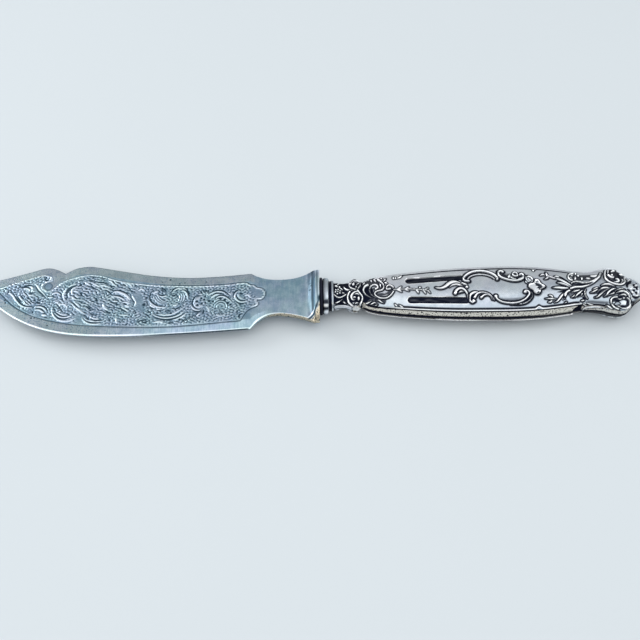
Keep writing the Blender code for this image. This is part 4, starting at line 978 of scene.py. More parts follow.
stamp([leaf(0.42, (57.0, 3.8), (57.2, 3.2), (57.8, 2.75), (58.8, 2.55)),
       leaf(0.7, (56.3, 3.1), (56.6, 3.7), (56.95, 4.4)),
       cord(0.42, (59.2, 4.3), (59.1, 5.0), (58.5, 5.3), (57.9, 4.9), (57.9, 4.1), (58.6, 3.75),
            (59.2, 4.0))], 0.18, 0.24, 0.12, polish_and_highlight=0.7)
hollow(0.85, [(58.1, 4.35), (58.7, 4.5)])
# Painted shadow above the lower scroll of the shield, soft and then dark along the scroll.
sink(die, [leaf(1.9, (52.4, -3.4), (54.2, -4.2), (56.6, -4.5), (59.2, -4.0), (60.8, -2.9))], 0.03, 0.62,
     rim=0.75)
hollow(0.9, [(52.7, -3.7), (53.7, -4.35), (55.1, -4.75), (56.8, -4.85), (58.4, -4.6), (59.8, -3.9)])
stamp([cord(0.54, (51.9, -3.3), (52.3, -4.15), (53.3, -4.85), (54.7, -5.25), (56.8, -5.4), (58.7, -5.1),
            (60.4, -4.3), (61.4, -3.3), (61.9, -2.4), (61.4, -1.7), (60.7, -1.65), (60.5, -2.1)),
       bead(51.9, -3.2, 0.9), bead(60.75, -2.1, 0.7),
       leaf(0.4, (56.0, -5.85), (59.0, -5.75), (60.9, -5.2), (62.3, -4.0), (62.8, -2.75), (62.4, -1.8))],
      0.36, 0.40, 0.14, polish_and_highlight=0.85)

# Flower at the end of the shield, and the shell lobe above it
stamp([cord(1.4, (61.9, 1.6), (62.3, 2.3), (62.1, 3.0))], 0.16, 0.36, 0.10, polish_and_highlight=0.4)
hollow(0.62, [(61.3, 2.6), (61.6, 1.8), (61.9, 1.2)], [(61.7, 3.3), (62.0, 2.5), (62.3, 1.7)],
       [(62.4, 3.1), (62.6, 2.5)], soot_and_shade=0.75, depth=0.08)
stamp([cord(0.55, (62.3, 3.5), (63.0, 3.2), (63.4, 2.4), (63.3, 1.6), (62.6, 1.1), (62.0, 0.9))], 0.24,
      0.2, 0.10, polish_and_highlight=0.85)
FLOWER = [(62.0, 0.4), (61.9, -0.3), (62.4, -0.95), (63.0, -1.4), (63.4, -2.3), (64.1, -2.7), (64.8, -2.5),
          (65.2, -1.9), (65.4, -1.2), (66.3, -0.75), (66.8, -0.25), (66.4, 0.3), (65.7, 0.8), (65.4, 1.6),
          (65.0, 2.2), (64.5, 2.4), (64.0, 2.0), (63.8, 1.3), (63.2, 0.85), (62.4, 0.75), (62.0, 0.4)]
flower_gap = measure(die, [cord(0.1, *FLOWER)], 1.2)[0]
in_flower = enclosed(die, FLOWER)
flower_moat = ease(1.5 - flower_gap / 0.55) * ~in_flower
flower_rise = 0.14 + 0.12 * ease(1 - flower_gap / 0.3)
die.height = np.where(in_flower, flower_rise, die.height * (1 - flower_moat) - 0.14 * flower_moat)
die.soot_and_shade = np.where(in_flower, 0.0, np.maximum(die.soot_and_shade, flower_moat))
flower_light = np.maximum(0.45, 0.9 * ease(1.6 - flower_gap / 0.3))
die.polish_and_highlight = np.where(in_flower, flower_light, die.polish_and_highlight * (1 - flower_moat))
hollow(0.9, [(63.8, 1.0), (64.6, 0.7), (65.4, 0.25), (66.1, -0.3)],
       [(63.9, 0.4), (65.0, 0.2), (65.8, -0.2)], [(64.4, -0.6), (65.2, -0.5), (65.8, -0.4)], soot_and_shade=0.95)
hollow(0.5, [(64.0, -2.1), (64.5, -2.2), (64.9, -1.6)], [(64.3, 1.7), (64.7, 1.1)],
       [(64.7, 1.9), (65.0, 1.4)], [(65.2, -0.9), (64.8, -1.3)])

# Spray of leaves towards the scrolled end
stamp([leaf(0.5, (65.9, 3.8), (66.6, 4.15), (67.4, 4.0)), leaf(0.5, (67.9, 5.2), (67.9, 4.5), (68.2, 3.6)),
       leaf(0.5, (67.0, 2.4), (67.7, 2.7), (68.4, 3.2)),
       cord(0.4, (67.8, 3.7), (68.8, 3.35), (69.5, 3.0), (70.2, 2.7)),
       leaf(0.5, (70.1, 3.5), (70.9, 3.45), (71.6, 3.1)),
       leaf(0.75, (70.4, 2.75), (71.3, 2.4), (72.4, 1.7), (73.6, 0.8), (74.9, -0.2)),
       leaf(0.62, (70.6, 1.15), (71.8, 0.9), (73.0, 0.35), (74.4, -0.35)),
       leaf(0.8, (69.0, -0.65), (70.6, -0.6), (72.0, -0.75), (73.8, -0.75))], 0.30, 0.38, 0.12, polish_and_highlight=0.75)
hollow(0.8, [(70.6, 0.75), (71.6, 0.4), (72.6, 0.0), (74.2, -0.6)],
       [(70.1, -2.0), (71.4, -1.9), (72.6, -1.6), (74.4, -0.8)])
hollow(1.0, [(71.2, 3.9), (72.1, 3.4), (73.1, 2.3), (74.2, 1.2), (75.4, 0.5)])
hollow(0.4, [(69.3, -0.15), (70.7, 0.1)], [(69.2, -1.2), (70.8, -1.2)], [(70.4, 1.9), (71.4, 1.6)])
stamp([leaf(0.5, (66.3, -4.2), (67.6, -4.15), (68.8, -4.2), (69.8, -4.3)),
       leaf(0.52, (67.5, -3.1), (68.3, -3.3), (68.8, -4.0)),
       leaf(0.52, (67.1, -5.2), (67.9, -5.1), (68.5, -4.5)),
       leaf(0.6, (69.0, -5.3), (69.9, -4.9), (70.6, -4.2), (71.3, -3.3), (72.1, -2.5), (72.8, -1.7)),
       leaf(0.4, (72.3, -3.2), (72.1, -4.2)), leaf(0.42, (72.0, -5.6), (72.8, -5.0))], 0.28, 0.28, 0.10)
hollow(0.5, [(71.3, -4.1), (71.9, -5.0)], [(72.3, -4.0), (72.8, -4.5)])
stamp([leaf(0.62, (72.2, -2.9), (72.9, -2.1), (73.9, -1.5), (75.2, -0.8)),
       leaf(0.5, (72.3, -3.7), (72.6, -2.9), (73.1, -2.2)),
       leaf(0.5, (74.4, -2.1), (75.8, -1.7), (77.2, -1.3)),
       leaf(0.55, (75.3, -3.7), (76.1, -2.8), (77.0, -2.1), (78.0, -1.3)),
       leaf(0.42, (74.1, -3.7), (74.8, -3.4), (75.4, -2.7)), leaf(0.45, (77.2, -3.1), (77.7, -2.4)),
       leaf(0.5, (77.0, -4.7), (78.1, -4.5)),
       cord(0.36, (78.7, -1.2), (78.35, -2.0), (78.4, -2.9), (78.9, -4.0))], 0.28, 0.28, 0.12)
hollow(0.75, [(73.1, -2.5), (73.9, -2.7)])
hollow(0.55, [(74.8, -2.9), (75.5, -2.3)], [(74.3, -4.1), (75.6, -3.7)],
       [(75.9, -4.1), (76.5, -3.3), (77.5, -2.6)])
hollow(1.1, [(77.6, -3.7), (78.4, -4.1)])
stamp([cord(0.46, (76.0, 4.7), (75.3, 4.6), (74.7, 4.3), (74.35, 3.6), (74.35, 2.9), (74.7, 2.2),
            (75.3, 2.0)), leaf(0.4, (75.2, 4.0), (75.8, 3.8)), leaf(0.55, (76.4, 3.5), (76.3, 2.2)),
       leaf(0.42, (76.6, 5.2), (76.9, 4.3)), leaf(0.5, (77.2, 4.3), (77.6, 3.6)),
       leaf(0.55, (78.4, 3.4), (78.2, 2.1)), leaf(0.5, (79.5, 2.85), (80.8, 2.5)),
       leaf(0.7, (81.0, 3.7), (82.2, 3.5), (83.6, 4.0))], 0.28, 0.25, 0.12)
stamp([cord(0.42, (74.9, 1.0), (75.5, 1.35), (76.4, 1.5), (77.4, 1.3), (78.4, 1.0), (79.4, 1.05),
            (80.4, 1.3), (81.5, 1.8), (82.5, 2.5)),
       cord(0.62, (74.4, -0.9), (75.4, -0.5), (76.6, -0.4), (78.0, -0.3), (79.2, 0.1), (80.4, 0.6),
            (81.6, 1.4), (82.6, 2.3), (83.5, 3.3), (84.2, 4.6))], 0.34, 0.28, 0.14)
hollow(0.5, [(74.6, -1.2), (76.0, -1.0), (77.4, -0.95), (78.6, -0.6), (79.8, -0.1), (81.0, 0.6)])
hollow(0.85, [(75.0, 0.45), (76.6, 0.65), (78.2, 0.4), (79.8, 0.6), (81.4, 1.2)])

# Scrolled end: two volutes, acanthus between them and a shell at the tip
# Painted shade on the dome over the wall under the scrolled end.
sink(die, [cord(1.5, (79.2, -4.9), (81.6, -5.1), (84.6, -5.5))], 0.05, 0.8, rim=0.75)
stamp([leaf(0.45, (80.8, -1.35), (81.6, -0.95), (82.6, -0.75)),
       leaf(0.5, (80.0, -2.3), (80.9, -2.0), (81.8, -1.55), (82.6, -1.2)),
       leaf(0.55, (82.1, -2.3), (83.0, -1.4), (83.8, -0.95), (84.8, -0.85), (86.2, -0.95)),
       leaf(0.62, (81.1, -3.8), (82.0, -3.6), (82.6, -3.1), (83.3, -2.5), (84.0, -1.9), (84.8, -1.45),
            (85.8, -1.1)),
       leaf(0.6, (83.8, -3.6), (84.6, -3.2), (85.2, -2.4), (85.9, -1.8), (86.8, -1.35), (87.8, -1.1)),
       leaf(0.6, (85.1, -3.2), (86.0, -2.95), (86.9, -2.6), (87.6, -2.0), (88.4, -1.55), (89.4, -1.3),
            (90.4, -1.5))], 0.30, 0.34, 0.14)
hollow(0.42, [(81.9, -2.6), (82.6, -1.9), (83.4, -1.2)],
       [(82.6, -3.0), (83.4, -2.2), (84.4, -1.5), (85.4, -1.1)],
       [(84.1, -3.0), (85.0, -2.0), (86.2, -1.4)], [(80.9, -4.1), (82.0, -4.0), (83.1, -3.5)],
       [(80.1, -2.65), (81.2, -2.65), (82.3, -2.4)], [(83.8, -3.9), (84.8, -3.8), (85.6, -3.5)],
       [(85.5, -2.7), (86.4, -2.55), (87.2, -2.1), (88.2, -1.75), (90.0, -1.65)])
stamp([leaf(0.65, (83.4, -0.1), (84.2, 0.25), (85.2, 0.35), (86.3, 0.15), (87.4, -0.4)),
       leaf(0.62, (87.4, -2.7), (88.4, -2.25), (89.4, -2.1), (90.3, -2.25), (91.0, -2.75), (91.4, -3.5),
            (91.5, -4.4)),
       leaf(0.5, (88.0, -3.6), (89.0, -3.25), (89.8, -3.15), (90.4, -3.6), (90.7, -4.3))], 0.32, 0.34, 0.14)
sink(die, [leaf(2.0, (84.5, 5.2), (84.4, 2.8), (85.2, 0.6))], 0.03, 0.42, rim=0.7)
sink(die, [cord(4.6, (87.4, 4.2), (89.2, 3.2))], 0.15, 0.95, rim=0.4)
stamp([cord(0.55, (85.9, 5.6), (85.4, 4.4), (85.2, 3.4), (85.25, 2.4), (85.7, 1.5), (86.5, 0.85),
            (87.4, 0.4), (88.3, 0.15), (89.3, 0.15), (90.1, 0.5), (90.7, 1.1), (91.1, 1.9), (91.25, 3.0)),
       leaf(0.6, (86.0, 4.1), (86.5, 3.4), (87.0, 2.85), (87.5, 2.75), (88.0, 3.2)),
       comma(0.7, (87.4, 3.7), (87.2, 4.2)),
       leaf(0.62, (88.1, 2.4), (88.8, 2.1), (89.0, 1.5), (88.4, 1.15), (87.3, 1.0)),
       leaf(0.45, (90.1, 2.4), (90.2, 1.6), (89.6, 0.8)),
       leaf(0.6, (87.4, 5.1), (88.2, 5.45), (88.9, 5.7)), leaf(0.8, (90.0, 4.5), (90.9, 3.9)),
       leaf(0.5, (86.7, 5.9), (86.4, 4.6))], 0.34, 0.28, 0.14)
hollow(0.9, [(86.0, 3.0), (86.3, 2.1), (87.2, 1.55), (88.2, 1.6)], [(89.6, 4.9), (89.4, 3.6), (89.8, 2.6)])
sink(die, [cord(2.6, (87.0, -5.4), (90.0, -5.5))], 0.12, 0.9, rim=0.3)
stamp([cord(0.5, (87.6, -3.95), (86.7, -4.0), (86.0, -4.35), (85.7, -5.0), (85.8, -5.8), (86.2, -6.5),
            (86.9, -7.1), (87.8, -7.5)),
       cord(0.46, (90.6, -4.1), (91.3, -4.6), (91.5, -5.4), (91.2, -6.3), (90.6, -6.9), (89.8, -7.2),
            (89.0, -7.2), (88.2, -6.9), (87.3, -6.4)),
       leaf(0.5, (84.3, -6.0), (85.0, -6.6), (85.6, -7.1), (86.4, -7.6)),
       leaf(0.5, (88.0, -4.6), (89.0, -4.35), (90.2, -4.2))], 0.32, 0.26, 0.14)
stamp([leaf(1.7, (88.0, -6.0), (89.2, -5.7), (90.3, -5.4))], 0.16, 0.2, 0.10, polish_and_highlight=0.28)
stamp([leaf(0.6, (86.1, -5.7), (86.8, -5.4)), leaf(0.7, (86.8, -6.1), (87.6, -5.8), (88.2, -5.9))], 0.12,
      0.2, 0.08, polish_and_highlight=0.1)
sink(die, [leaf(1.5, (86.6, -5.9), (87.6, -5.9), (88.6, -5.8))], 0.0, 0.3, rim=0.5)
hollow(0.8, [(86.2, -4.9), (86.9, -4.7), (87.6, -5.0), (88.7, -4.95)],
       [(88.0, -6.55), (88.9, -6.7), (89.7, -6.5)], [(90.5, -4.7), (90.65, -5.3), (90.3, -6.0)],
       [(87.9, -2.75), (88.7, -2.9), (89.6, -2.6), (90.4, -2.9), (90.9, -3.5)])
stamp([leaf(0.45, (87.7, -4.3), (88.4, -4.6), (89.1, -4.3))], 0.2, 0.15, 0.08)
hollow(0.95, [(87.9, -4.1), (88.9, -4.1)])
hollow(0.5, [(87.9, -7.1), (88.8, -7.5)], [(86.9, -7.9), (88.0, -8.2), (89.0, -8.3)],
       [(91.7, -4.5), (92.0, -5.2), (91.9, -6.0)])
hollow(1.3, [(92.0, 1.3), (91.6, 0.4), (91.1, -0.5)], [(92.8, 2.3), (92.4, 1.5), (92.1, 0.8)])
hollow(0.9, [(93.4, 2.6), (92.7, 1.7), (91.7, 1.3), (91.2, 1.0)],
       [(93.0, 1.6), (92.3, 0.6), (91.6, 0.0), (91.1, -0.8)], [(91.8, 2.9), (91.5, 2.2), (91.2, 1.4)])
stamp([leaf(0.5, (93.0, 2.9), (92.5, 2.4), (92.0, 1.8))], 0.2, 0.08, 0.05, soot_and_shade=0.6)
stamp([leaf(1.7, (91.8, -0.7), (92.4, -0.4), (93.0, 0.6)), cord(2.0, (94.4, 0.4), (94.2, -1.7))], 0.10,
      0.1, 0.04, soot_and_shade=0.3, polish_and_highlight=0.45)
sink(die, [leaf(1.6, (95.0, -0.3), (94.2, -1.2), (93.2, -2.2))], 0.02, 0.12, rim=0.5)
hollow(0.95, [(95.1, 1.8), (94.5, 1.3)], [(94.3, 1.05), (93.7, 0.7), (93.2, 0.1)],
       [(95.2, 0.4), (94.5, 0.05), (93.8, -0.15), (93.2, -0.5)], [(94.7, -0.4), (94.2, -0.75)],
       [(93.7, -1.15), (93.0, -1.5)], [(94.4, -1.7), (93.7, -2.2)])
hollow(1.0, [(91.1, -1.1), (91.6, -1.5), (92.1, -2.1)],
       [(95.4, -2.5), (94.5, -3.1), (93.7, -3.45), (93.0, -3.35), (92.2, -3.8)])
hollow(0.8, [(91.8, -1.8), (92.3, -2.5), (92.9, -3.3)])
stamp([leaf(0.6, (94.9, 0.8), (94.3, 0.5), (93.8, 0.15)), leaf(0.7, (92.0, -0.9), (92.8, -1.0)),
       leaf(0.7, (92.5, -1.7), (92.9, -2.4)), leaf(0.5, (95.0, -2.1), (94.2, -2.7), (93.3, -3.0)),
       bead(92.4, -3.9, 0.55)], 0.18, 0.06, 0.04, soot_and_shade=0.2, polish_and_highlight=0.95)
# Painted shade on the lower lobe of the shell at the tip.
sink(die, [cord(2.4, (92.4, -5.6), (95.4, -4.4))], 0.06, 0.6, rim=0.5)
hollow(1.1, [(92.0, -4.4), (92.5, -5.1), (93.8, -5.0)], [(91.8, -6.0), (92.8, -6.1), (94.0, -5.6)])

# Border: a bright thread inside a blackened groove along the swell, fading out at both ends, with painted
# shade on the upper border
BORDER_WIDTH = [(4, 0.22), (13, 0.22), (21, 0.30), (26, 0.52), (75, 0.56), (77, 0.4), (79, 0.3), (97, 0.2)]
border_width = np.interp(die.x, *np.transpose(BORDER_WIDTH))
on_swell = ease((die.x - 24.3) / 0.6) * ease((SWELL_END - die.x) / 0.6)
on_border = ease((die.x - 18.0) / 3) * ease((80.0 - die.x) / 2)
kink = 0.6 * np.exp(-((die.x - 64.4) / 0.7) ** 2) * ease((border_gap + 0.05) / 0.1)
rim_gap = border_gap - kink
groove = ease(1.75 - np.abs(rim_gap - border_width - 0.12) / 0.22) * on_swell
border_thread = ease(1.2 - np.abs(rim_gap / border_width - 0.46) / 0.42) * (border_gap > 0.02)
border_thread = border_thread * on_border * (die.y < 0)
clear = 1 - (1 - ease((rim_gap / border_width - 0.8) / 0.25)) * on_border
die.height = die.height * clear - 0.14 * groove + 0.12 * border_thread
# The upper border is painted darker, as shade.
die.soot_and_shade = np.maximum(die.soot_and_shade * clear, np.maximum(groove, 0.4 * (1 - clear) * (die.y > 0)))
die.polish_and_highlight = np.maximum(die.polish_and_highlight * clear, border_thread) * (1 - groove)
stamp([bead(64.2, 5.9, 0.6)], 0.22, 0.22, 0.10)

# Side walls: plain and worn, their pitted cream also a painted warm reflection, with a black line under the
# border, dirt along the seam, painted shade on the upper wall and a painted shade band under the scrolled end
on_wall = wall_share > 0
plain_wall = on_wall * ease((die.x - NECK_END) / 0.3) * ease((VOLUTE_X - die.x) / 0.6)
line_end = np.interp(die.x, [13, 16, 24, 40, 55, 77], [0.38, 0.31, 0.19, 0.21, 0.18, 0.13])
wall_line = (wall_share > 0.01) * ease((line_end + 0.02 - wall_share) / 0.02)
wall_line = wall_line * ease((die.x - 13.0) / 1) * ease((SWELL_END - die.x) / 0.4)
# Painted shade band along the top of the wall under the scrolled end.
shade_under_end = ease((die.x - SWELL_END) / 0.6) * ease((0.27 - wall_share) / 0.05)
shade_under_end = shade_under_end * ease((wall_share - 0.01) / 0.02)
# The upper wall is painted darker, as shade.
wall_soot_and_shade = np.maximum(np.maximum(wall_line, shade_under_end), 0.45 * (die.y > 0))
die.soot_and_shade = np.maximum(die.soot_and_shade * (1 - plain_wall), wall_soot_and_shade * plain_wall)
die.height = die.height * (1 - plain_wall)
die.polish_and_highlight = die.polish_and_highlight * (1 - plain_wall)
hollow(0.85, [(62.6, -7.75), (64.0, -7.55), (65.6, -7.6)], depth=0.05)
sink(die, [comma(2.9, (76.1, -8.2), (76.5, -7.2), (77.2, -5.9)), leaf(0.9, (76.9, -6.0), (78.2, -6.1))],
     0.25, 1.0, rim=0.14)
stamp([leaf(0.8, (77.6, -8.3), (77.9, -7.5), (78.7, -6.9), (80.2, -6.65), (82.0, -6.7), (84.2, -7.0)),
       leaf(0.42, (78.6, -5.1), (79.4, -5.6), (80.8, -6.0)),
       leaf(0.42, (77.4, -5.5), (78.2, -6.0), (78.9, -6.6))], 0.16, 0.2, 0.06, soot_and_shade=0.8)
dirt_start = np.interp(die.x, [55, 70, 77, 79], [0.69, 0.73, 0.73, 0.83])
seam_dirt = ease((wall_share - dirt_start) / 0.06) * (die.x > 12.9)

# The back half is a little wider at the seam, so that its lip shows as a bright line below the dirt
lip = np.zeros(die.x.shape)
lip[:, :5] = -0.5 * np.array([0.9, 1.0, 0.9, 0.6, 0.0])
lip[:, -5:] = 0.2 * np.array([0.0, 0.6, 0.9, 1.0, 0.9])
lip *= ease((die.x - 13) / 1) * ease((78 - die.x) / 2)
lip_soot = 0.5 * ease((die.x - 44) / 6) * ease((60 - die.x) / 6)
back_soot = 0.9 * ease((die.x - SWELL_END) / 1) * ease((wall_share - 0.1) / 0.2)

tangent_x, tangent_y = np.gradient(outer, axis=0), np.gradient(outer, axis=1)
out = np.cross(tangent_x, tangent_y)
out /= np.linalg.norm(out, axis=-1, keepdims=True)
struck = outer + out * (die.height - RELIEF_SINK * ease(border_gap / 0.3))[..., None]
inner_xs = np.linspace(MOUTH_X, END_X - SHELL_WALL, INNER_ROWS)
inner = handle_skin(inner_xs, np.array([0, 0.33, 0.67]), INNER_COLUMNS, SHELL_WALL)[0]
outer_shape, inner_shape = struck.shape[:2], inner.shape[:2]
outer_numbers = np.arange(outer_shape[0] * outer_shape[1]).reshape(outer_shape)
inner_numbers = np.arange(inner_shape[0] * inner_shape[1]).reshape(inner_shape) + outer_numbers.size
shell_faces = quads(*outer_shape).tolist() + (quads(*inner_shape) + outer_numbers.size).tolist()
shell_faces += [outer_numbers[-1].tolist(), inner_numbers[-1].tolist(),
                [outer_numbers[-1, 0], outer_numbers[-1, -1], inner_numbers[-1, -1], inner_numbers[-1, 0]]]
for edge_of in (lambda numbers: numbers[0], lambda numbers: numbers[:, 0], lambda numbers: numbers[:, -1]):
    shell_faces += zip_rims(edge_of(outer_numbers).tolist(), edge_of(inner_numbers).tolist())
on_lobe = (die.x > 9.9) & (die.x < 12.2) & (wall_share > 0.25)
under_volute = (die.x > VOLUTE_X) & (wall_share < 0.45)
# Worn, pitted cream on the side walls, which also stands in for a warm reflection of the floor.
worn_and_reflecting_wall = on_wall * (1 - die.polish_and_highlight) * ((die.x > NECK_END) | on_lobe) * ~under_volute
worn_and_reflecting_wall = worn_and_reflecting_wall * (1 - 0.25 * ease((die.x - SWELL_END) / 1))
# Tarnish with painted light: the upper half is painted lighter and the lower edge darker; it is also lighter
# towards the mouth and darker towards the end.
painted_light_and_tarnish = (0.87 + 0.13 * ease((-3.2 - die.y) / 2.0) - 0.25 * ease((die.y - 0.5) / 4.5)
                - 0.09 * ease((46 - die.x) / 12) + 0.05 * ease((die.x - 55) / 10))
# The worn colour is a cream that also stands in for a warm reflection of the floor.
SILVER = worn_metal("stamped_silver", (0.97, 0.99, 1.0, 1), (0.39, 0.445, 0.505, 1), (0.006, 0.008, 0.018, 1),
                    (0.78, 0.74, 0.66, 1), 0.30, (1.0, 1.0, 1.0), 0.015)
front_soot_and_shade = np.maximum(die.soot_and_shade, seam_dirt)
rear_soot_and_shade = np.where(lip != 0, lip_soot, np.maximum(die.soot_and_shade, back_soot))
for name, node, side in (("stamped_front", "front_shell", 1), ("stamped_back", "back_shell", -1)):
    shell_soot_and_shade = front_soot_and_shade if side > 0 else rear_soot_and_shade
    lipped = struck if side > 0 else struck + np.stack([0 * lip, lip, 0 * lip], axis=-1)
    shell_places = np.vstack([lipped.reshape(-1, 3), inner.reshape(-1, 3)])
    bare_and_reflecting = worn_and_reflecting_wall if side > 0 else worn_and_reflecting_wall * (lip == 0)
    dulled_and_shaded = painted_light_and_tarnish * (1 - die.polish_and_highlight) * (1 if side > 0 else lip == 0)
    shell_marks = {"side": np.concatenate([bare_and_reflecting.ravel(), np.zeros(inner_numbers.size)]),
                   "tarnish_and_painted_light": np.concatenate([dulled_and_shaded.ravel(), np.ones(inner_numbers.size)]),
                   "soot_and_shade": np.concatenate([shell_soot_and_shade.ravel(), np.ones(inner_numbers.size)])}
    shell = make_piece(name, shell_places * (1, 1, side), shell_faces, shell_marks, SILVER, 60)
    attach(shell, "root")
    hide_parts(node)

# Mouth ferrule: a moulded silver ring, a broad collar, a groove and a narrow band, soldered round the mouth.
# It is closed on itself, and dirt lies in the groove and where the ring meets the shells.
FERRULE_X = (ferrule_low.x - AXIS[0]) / MM
RINGS = [(0.0, 0.90, 0.30), (0.1, 1.12, 0.52), (0.4, 1.30, 0.70), (0.95, 1.34, 0.74), (1.4, 1.30, 0.70),
         (1.65, 1.12, 0.52), (1.72, 0.70, 0.35), (1.78, 0.22, 0.2), (2.15, 0.15, 0.15), (2.56, 0.22, 0.2),
         (2.66, 0.38, 0.22), (2.9, 0.47, 0.27), (3.12, 0.36, 0.22), (3.2, 0.1, 0.1), (3.2, -0.4, -0.4),
         (0.0, -0.4, -0.4)]
RING_SOOT = [1.0, 1.0, 0.75, 0.1, 0.0, 0.5, 1.0, 1.0, 1.0, 1.0, 0.4, 0.0, 0.5, 1.0, 1.0, 1.0]
RING_SIDES = 144
turns = np.linspace(0, 2 * math.pi, RING_SIDES, endpoint=False)
ferrule_rows = np.array([np.stack([np.full(turns.size, FERRULE_X + at), -(MOUTH_HALF + wide) * np.cos(turns),
                                   (MOUTH_DEPTH + deep) * np.sin(turns)], -1) for at, wide, deep in RINGS])
ferrule_faces = quads(len(RINGS), turns.size, closed=True)
last_ring = (len(RINGS) - 1) * turns.size
closing = [(last_ring + index, last_ring + (index + 1) % turns.size, (index + 1) % turns.size, index)
           for index in range(turns.size)]
ferrule_soot = np.repeat(np.array(RING_SOOT)[:, None], turns.size, axis=1)
ring_angle = np.degrees(turns)[None, :]
blot = ease(1.4 - np.abs(ring_angle - 52) / 9) + ease(1.4 - np.abs(ring_angle - 27) / 6)
rubbed = np.clip(ease(1.4 - np.abs(ring_angle - 39) / 5) + ease((20 - ring_angle) / 6), 0, 1)
on_collar = np.isin(np.arange(len(RINGS)), [2, 3, 4])[:, None]
ferrule_soot = np.maximum(ferrule_soot, 0.95 * np.clip(blot, 0, 1) * on_collar)
ferrule_soot = ferrule_soot * (1 - 0.8 * rubbed * on_collar)
ferrule_tarnish = 0.9 - 0.75 * rubbed * np.ones_like(ferrule_soot)
ferrule = make_piece("mouth_ring", ferrule_rows.reshape(-1, 3), ferrule_faces.tolist() + closing,
                     {"soot_and_shade": ferrule_soot.ravel(), "side": np.zeros(ferrule_soot.size),
                      "tarnish_and_painted_light": ferrule_tarnish.ravel()}, SILVER, 50)
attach(ferrule, "root")
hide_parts("mouth_ferrule")

# Seam solder: the thin line of soft solder between the two halves, dulled almost black.
# It runs from the mouth round the end and back.
SOLDER = worn_metal("dark_solder", (0.10, 0.10, 0.10, 1), (0.04, 0.04, 0.045, 1), (0.01, 0.01, 0.012, 1),
                    (0.1, 0.1, 0.1, 1), 0.5, (1.0, 1.0, 1.0), 0.0)
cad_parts["seam_solder"].data.materials.clear()
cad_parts["seam_solder"].data.materials.append(SOLDER)

# Pitch: dark cement that fills the handle and holds the tang.
# It shows as a dull black line between the flange and the ferrule.


def mottled(name, scale, detail, first, second, roughness, gloss):
    """Dull material that wavers between two colours, and the grain that it follows."""
    material = bpy.data.materials.new(name)
    material.use_nodes = True
    tree = material.node_tree
    shader = tree.nodes["Principled BSDF"]
    place = add_node(tree, "ShaderNodeTexCoord").outputs["Object"]
    grain = add_node(tree, "ShaderNodeTexNoise",
                     {"Vector": place, "Scale": scale, "Detail": detail}).outputs["Fac"]
    tree.links.new(mix_colours(tree, grain, first, second), shader.inputs["Base Color"])
    shader.inputs["Roughness"].default_value = roughness
    shader.inputs["Specular IOR Level"].default_value = gloss
    return material, grain


pitch, pitch_grain = mottled("pitch_cement", 1500, 5, (0.003, 0.004, 0.010, 1), (0.010, 0.013, 0.030, 1),
                             0.6, 0.15)
pitch_tree = pitch.node_tree
pitch_bump = add_node(pitch_tree, "ShaderNodeBump",
                      {"Height": pitch_grain, "Strength": 0.4, "Distance": 0.2 * MM})
pitch_tree.links.new(pitch_bump.outputs["Normal"], pitch_tree.nodes["Principled BSDF"].inputs["Normal"])
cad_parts["pitch_filling"].data.materials.clear()
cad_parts["pitch_filling"].data.materials.append(pitch)

# Bead of pitch pressed out of the joint when the blade was set: a soft black ring between flange and ferrule.
# It was wiped off level with the ferrule while it was warm.
BEAD_SIDES, BEAD_ROUND, BEAD_X = 144, 16, 0.5
bead_tree = bpy.data.node_groups.new("pressed_bead", "GeometryNodeTree")
bead_tree.interface.new_socket("Geometry", in_out="OUTPUT", socket_type="NodeSocketGeometry")
bead_inputs = {}
for name, value in (("Half width", 5.65 * MM), ("Half depth", 3.72 * MM), ("Thickness", 0.46 * MM)):
    socket = bead_tree.interface.new_socket(name, in_out="INPUT", socket_type="NodeSocketFloat")
    bead_inputs[socket.identifier] = value
bead_sizes = bead_tree.nodes.new("NodeGroupInput").outputs
bead_oval = add_node(bead_tree, "ShaderNodeCombineXYZ",
                     {"X": bead_sizes["Half depth"], "Y": bead_sizes["Half width"], "Z": 1.0})
bead_circle = add_node(bead_tree, "GeometryNodeCurvePrimitiveCircle",
                       {"Resolution": BEAD_SIDES, "Radius": 1.0})
bead_path = add_node(bead_tree, "GeometryNodeTransform",
                     {"Geometry": bead_circle.outputs["Curve"], "Scale": bead_oval.outputs[0],
                      "Rotation": (0.0, math.pi / 2, 0.0),
                      "Translation": AXIS + np.array([BEAD_X * MM, 0.0, 0.0])})
bead_round = add_node(bead_tree, "GeometryNodeCurvePrimitiveCircle",
                      {"Resolution": BEAD_ROUND, "Radius": bead_sizes["Thickness"]})
bead_sweep = add_node(bead_tree, "GeometryNodeCurveToMesh", {"Curve": bead_path.outputs["Geometry"],
                                                             "Profile Curve": bead_round.outputs["Curve"]})
bead_smooth = add_node(bead_tree, "GeometryNodeSetShadeSmooth", {"Geometry": bead_sweep.outputs["Mesh"]})
bead_real = add_node(bead_tree, "GeometryNodeRealizeInstances", {"Geometry": bead_smooth.outputs["Geometry"]})
bead_coated = add_node(bead_tree, "GeometryNodeSetMaterial",
                       {"Geometry": bead_real.outputs["Geometry"], "Material": pitch})
add_node(bead_tree, "NodeGroupOutput", {"Geometry": bead_coated.outputs["Geometry"]})
bead_maker = show("bead_maker", bpy.data.meshes.new("bead_maker"))
bead_modifier = bead_maker.modifiers.new("bead", "NODES")
bead_modifier.node_group = bead_tree
for identifier, value in bead_inputs.items():
    bead_modifier[identifier] = value
bead_depsgraph = bpy.context.evaluated_depsgraph_get()
bead_mesh = bpy.data.meshes.new_from_object(bead_maker.evaluated_get(bead_depsgraph))
bead_maker.modifiers.clear()
bpy.data.objects.remove(bead_maker)
bead_mesh.name = "pressed_out_pitch"
squeezed = show("pressed_out_pitch", bead_mesh)
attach(squeezed, "root")

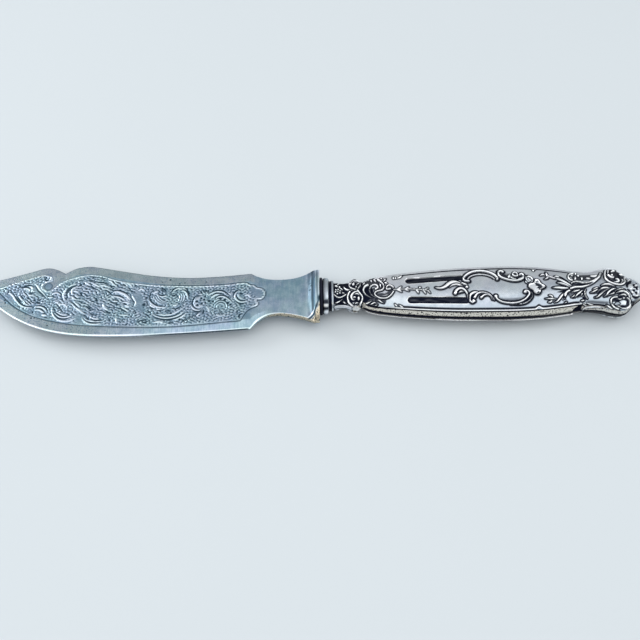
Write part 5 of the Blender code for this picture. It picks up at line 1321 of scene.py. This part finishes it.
# Studio: a plain pale floor under the knife, soft lamps above it, at both ends and behind, and a grey room.
# The camera looks down on the knife from its edge side, as the photograph does.
FLOOR_REACH = 3.0
floor_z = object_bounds()[0].z
floor_data = bpy.data.meshes.new("floor")
FLOOR_CORNERS = [(-1, -1), (1, -1), (1, 1), (-1, 1)]
floor_places = [(x * FLOOR_REACH, y * FLOOR_REACH, floor_z) for x, y in FLOOR_CORNERS]
floor_data.from_pydata(floor_places, [], [(0, 1, 2, 3)])
floor_paint = mottled("floor_paint", 8, 3, (0.535, 0.585, 0.616, 1), (0.552, 0.602, 0.635, 1), 0.9, 0.1)[0]
floor_data.materials.append(floor_paint)
floor = show("floor", floor_data)

world = bpy.data.worlds.new("room")
world.use_nodes = True
world_tree = world.node_tree
room_place = add_node(world_tree, "ShaderNodeTexCoord").outputs["Generated"]
room_height = add_node(world_tree, "ShaderNodeSeparateXYZ", {"Vector": room_place}).outputs["Z"]
room_share = remap(world_tree, room_height, 0.1, 1.0)
room_colour = mix_colours(world_tree, room_share, (0.57, 0.57, 0.57, 1), (0.83, 0.83, 0.83, 1))
world_tree.links.new(room_colour, world_tree.nodes["Background"].inputs["Color"])
world_tree.nodes["Background"].inputs["Strength"].default_value = 1.0
bpy.context.scene.world = world

LAMPS = [("softbox_top", (0.0, -0.14, 0.55), (0.0, 0.0), (1.0, 0.64), 0.72),
         ("softbox_left", (-0.75, 0.0, 0.50), (0.0, -0.98), (0.7, 0.7), 1.0),
         ("lamp_behind", (-0.80, 0.50, 0.55), (-0.477, -0.972), (0.4, 0.4), 7.0),
         ("softbox_right", (0.75, 0.0, 0.50), (0.0, 0.98), (0.7, 0.7), 1.17)]
for name, place, lean, size, glow in LAMPS:
    lamp_data = bpy.data.lights.new(name, "AREA")
    lamp_data.shape = "RECTANGLE"
    lamp_data.size, lamp_data.size_y = size
    lamp_data.energy = glow * math.pi * size[0] * size[1]
    lamp = show(name, lamp_data)
    lamp.location = place
    lamp.rotation_euler = (*lean, 0.0)

CAMERA_PLACE = np.array([0.04, -135.48, 229.80])
CAMERA_ELEVATION, CAMERA_ROLL = math.radians(61), math.radians(0.9)
camera_data = bpy.data.cameras.new("camera")
camera_data.lens = 50
camera_data.sensor_width = 36
camera_data.clip_start = 0.01
camera = show("camera", camera_data)
camera.location = CAMERA_PLACE * MM + AXIS
camera.rotation_euler = (math.pi / 2 - CAMERA_ELEVATION, 0.0, 0.0)
camera.matrix_basis = camera.matrix_basis @ Matrix.Rotation(-CAMERA_ROLL, 4, "Z")
bpy.context.scene.camera = camera
bpy.context.scene.view_settings.view_transform = "Standard"
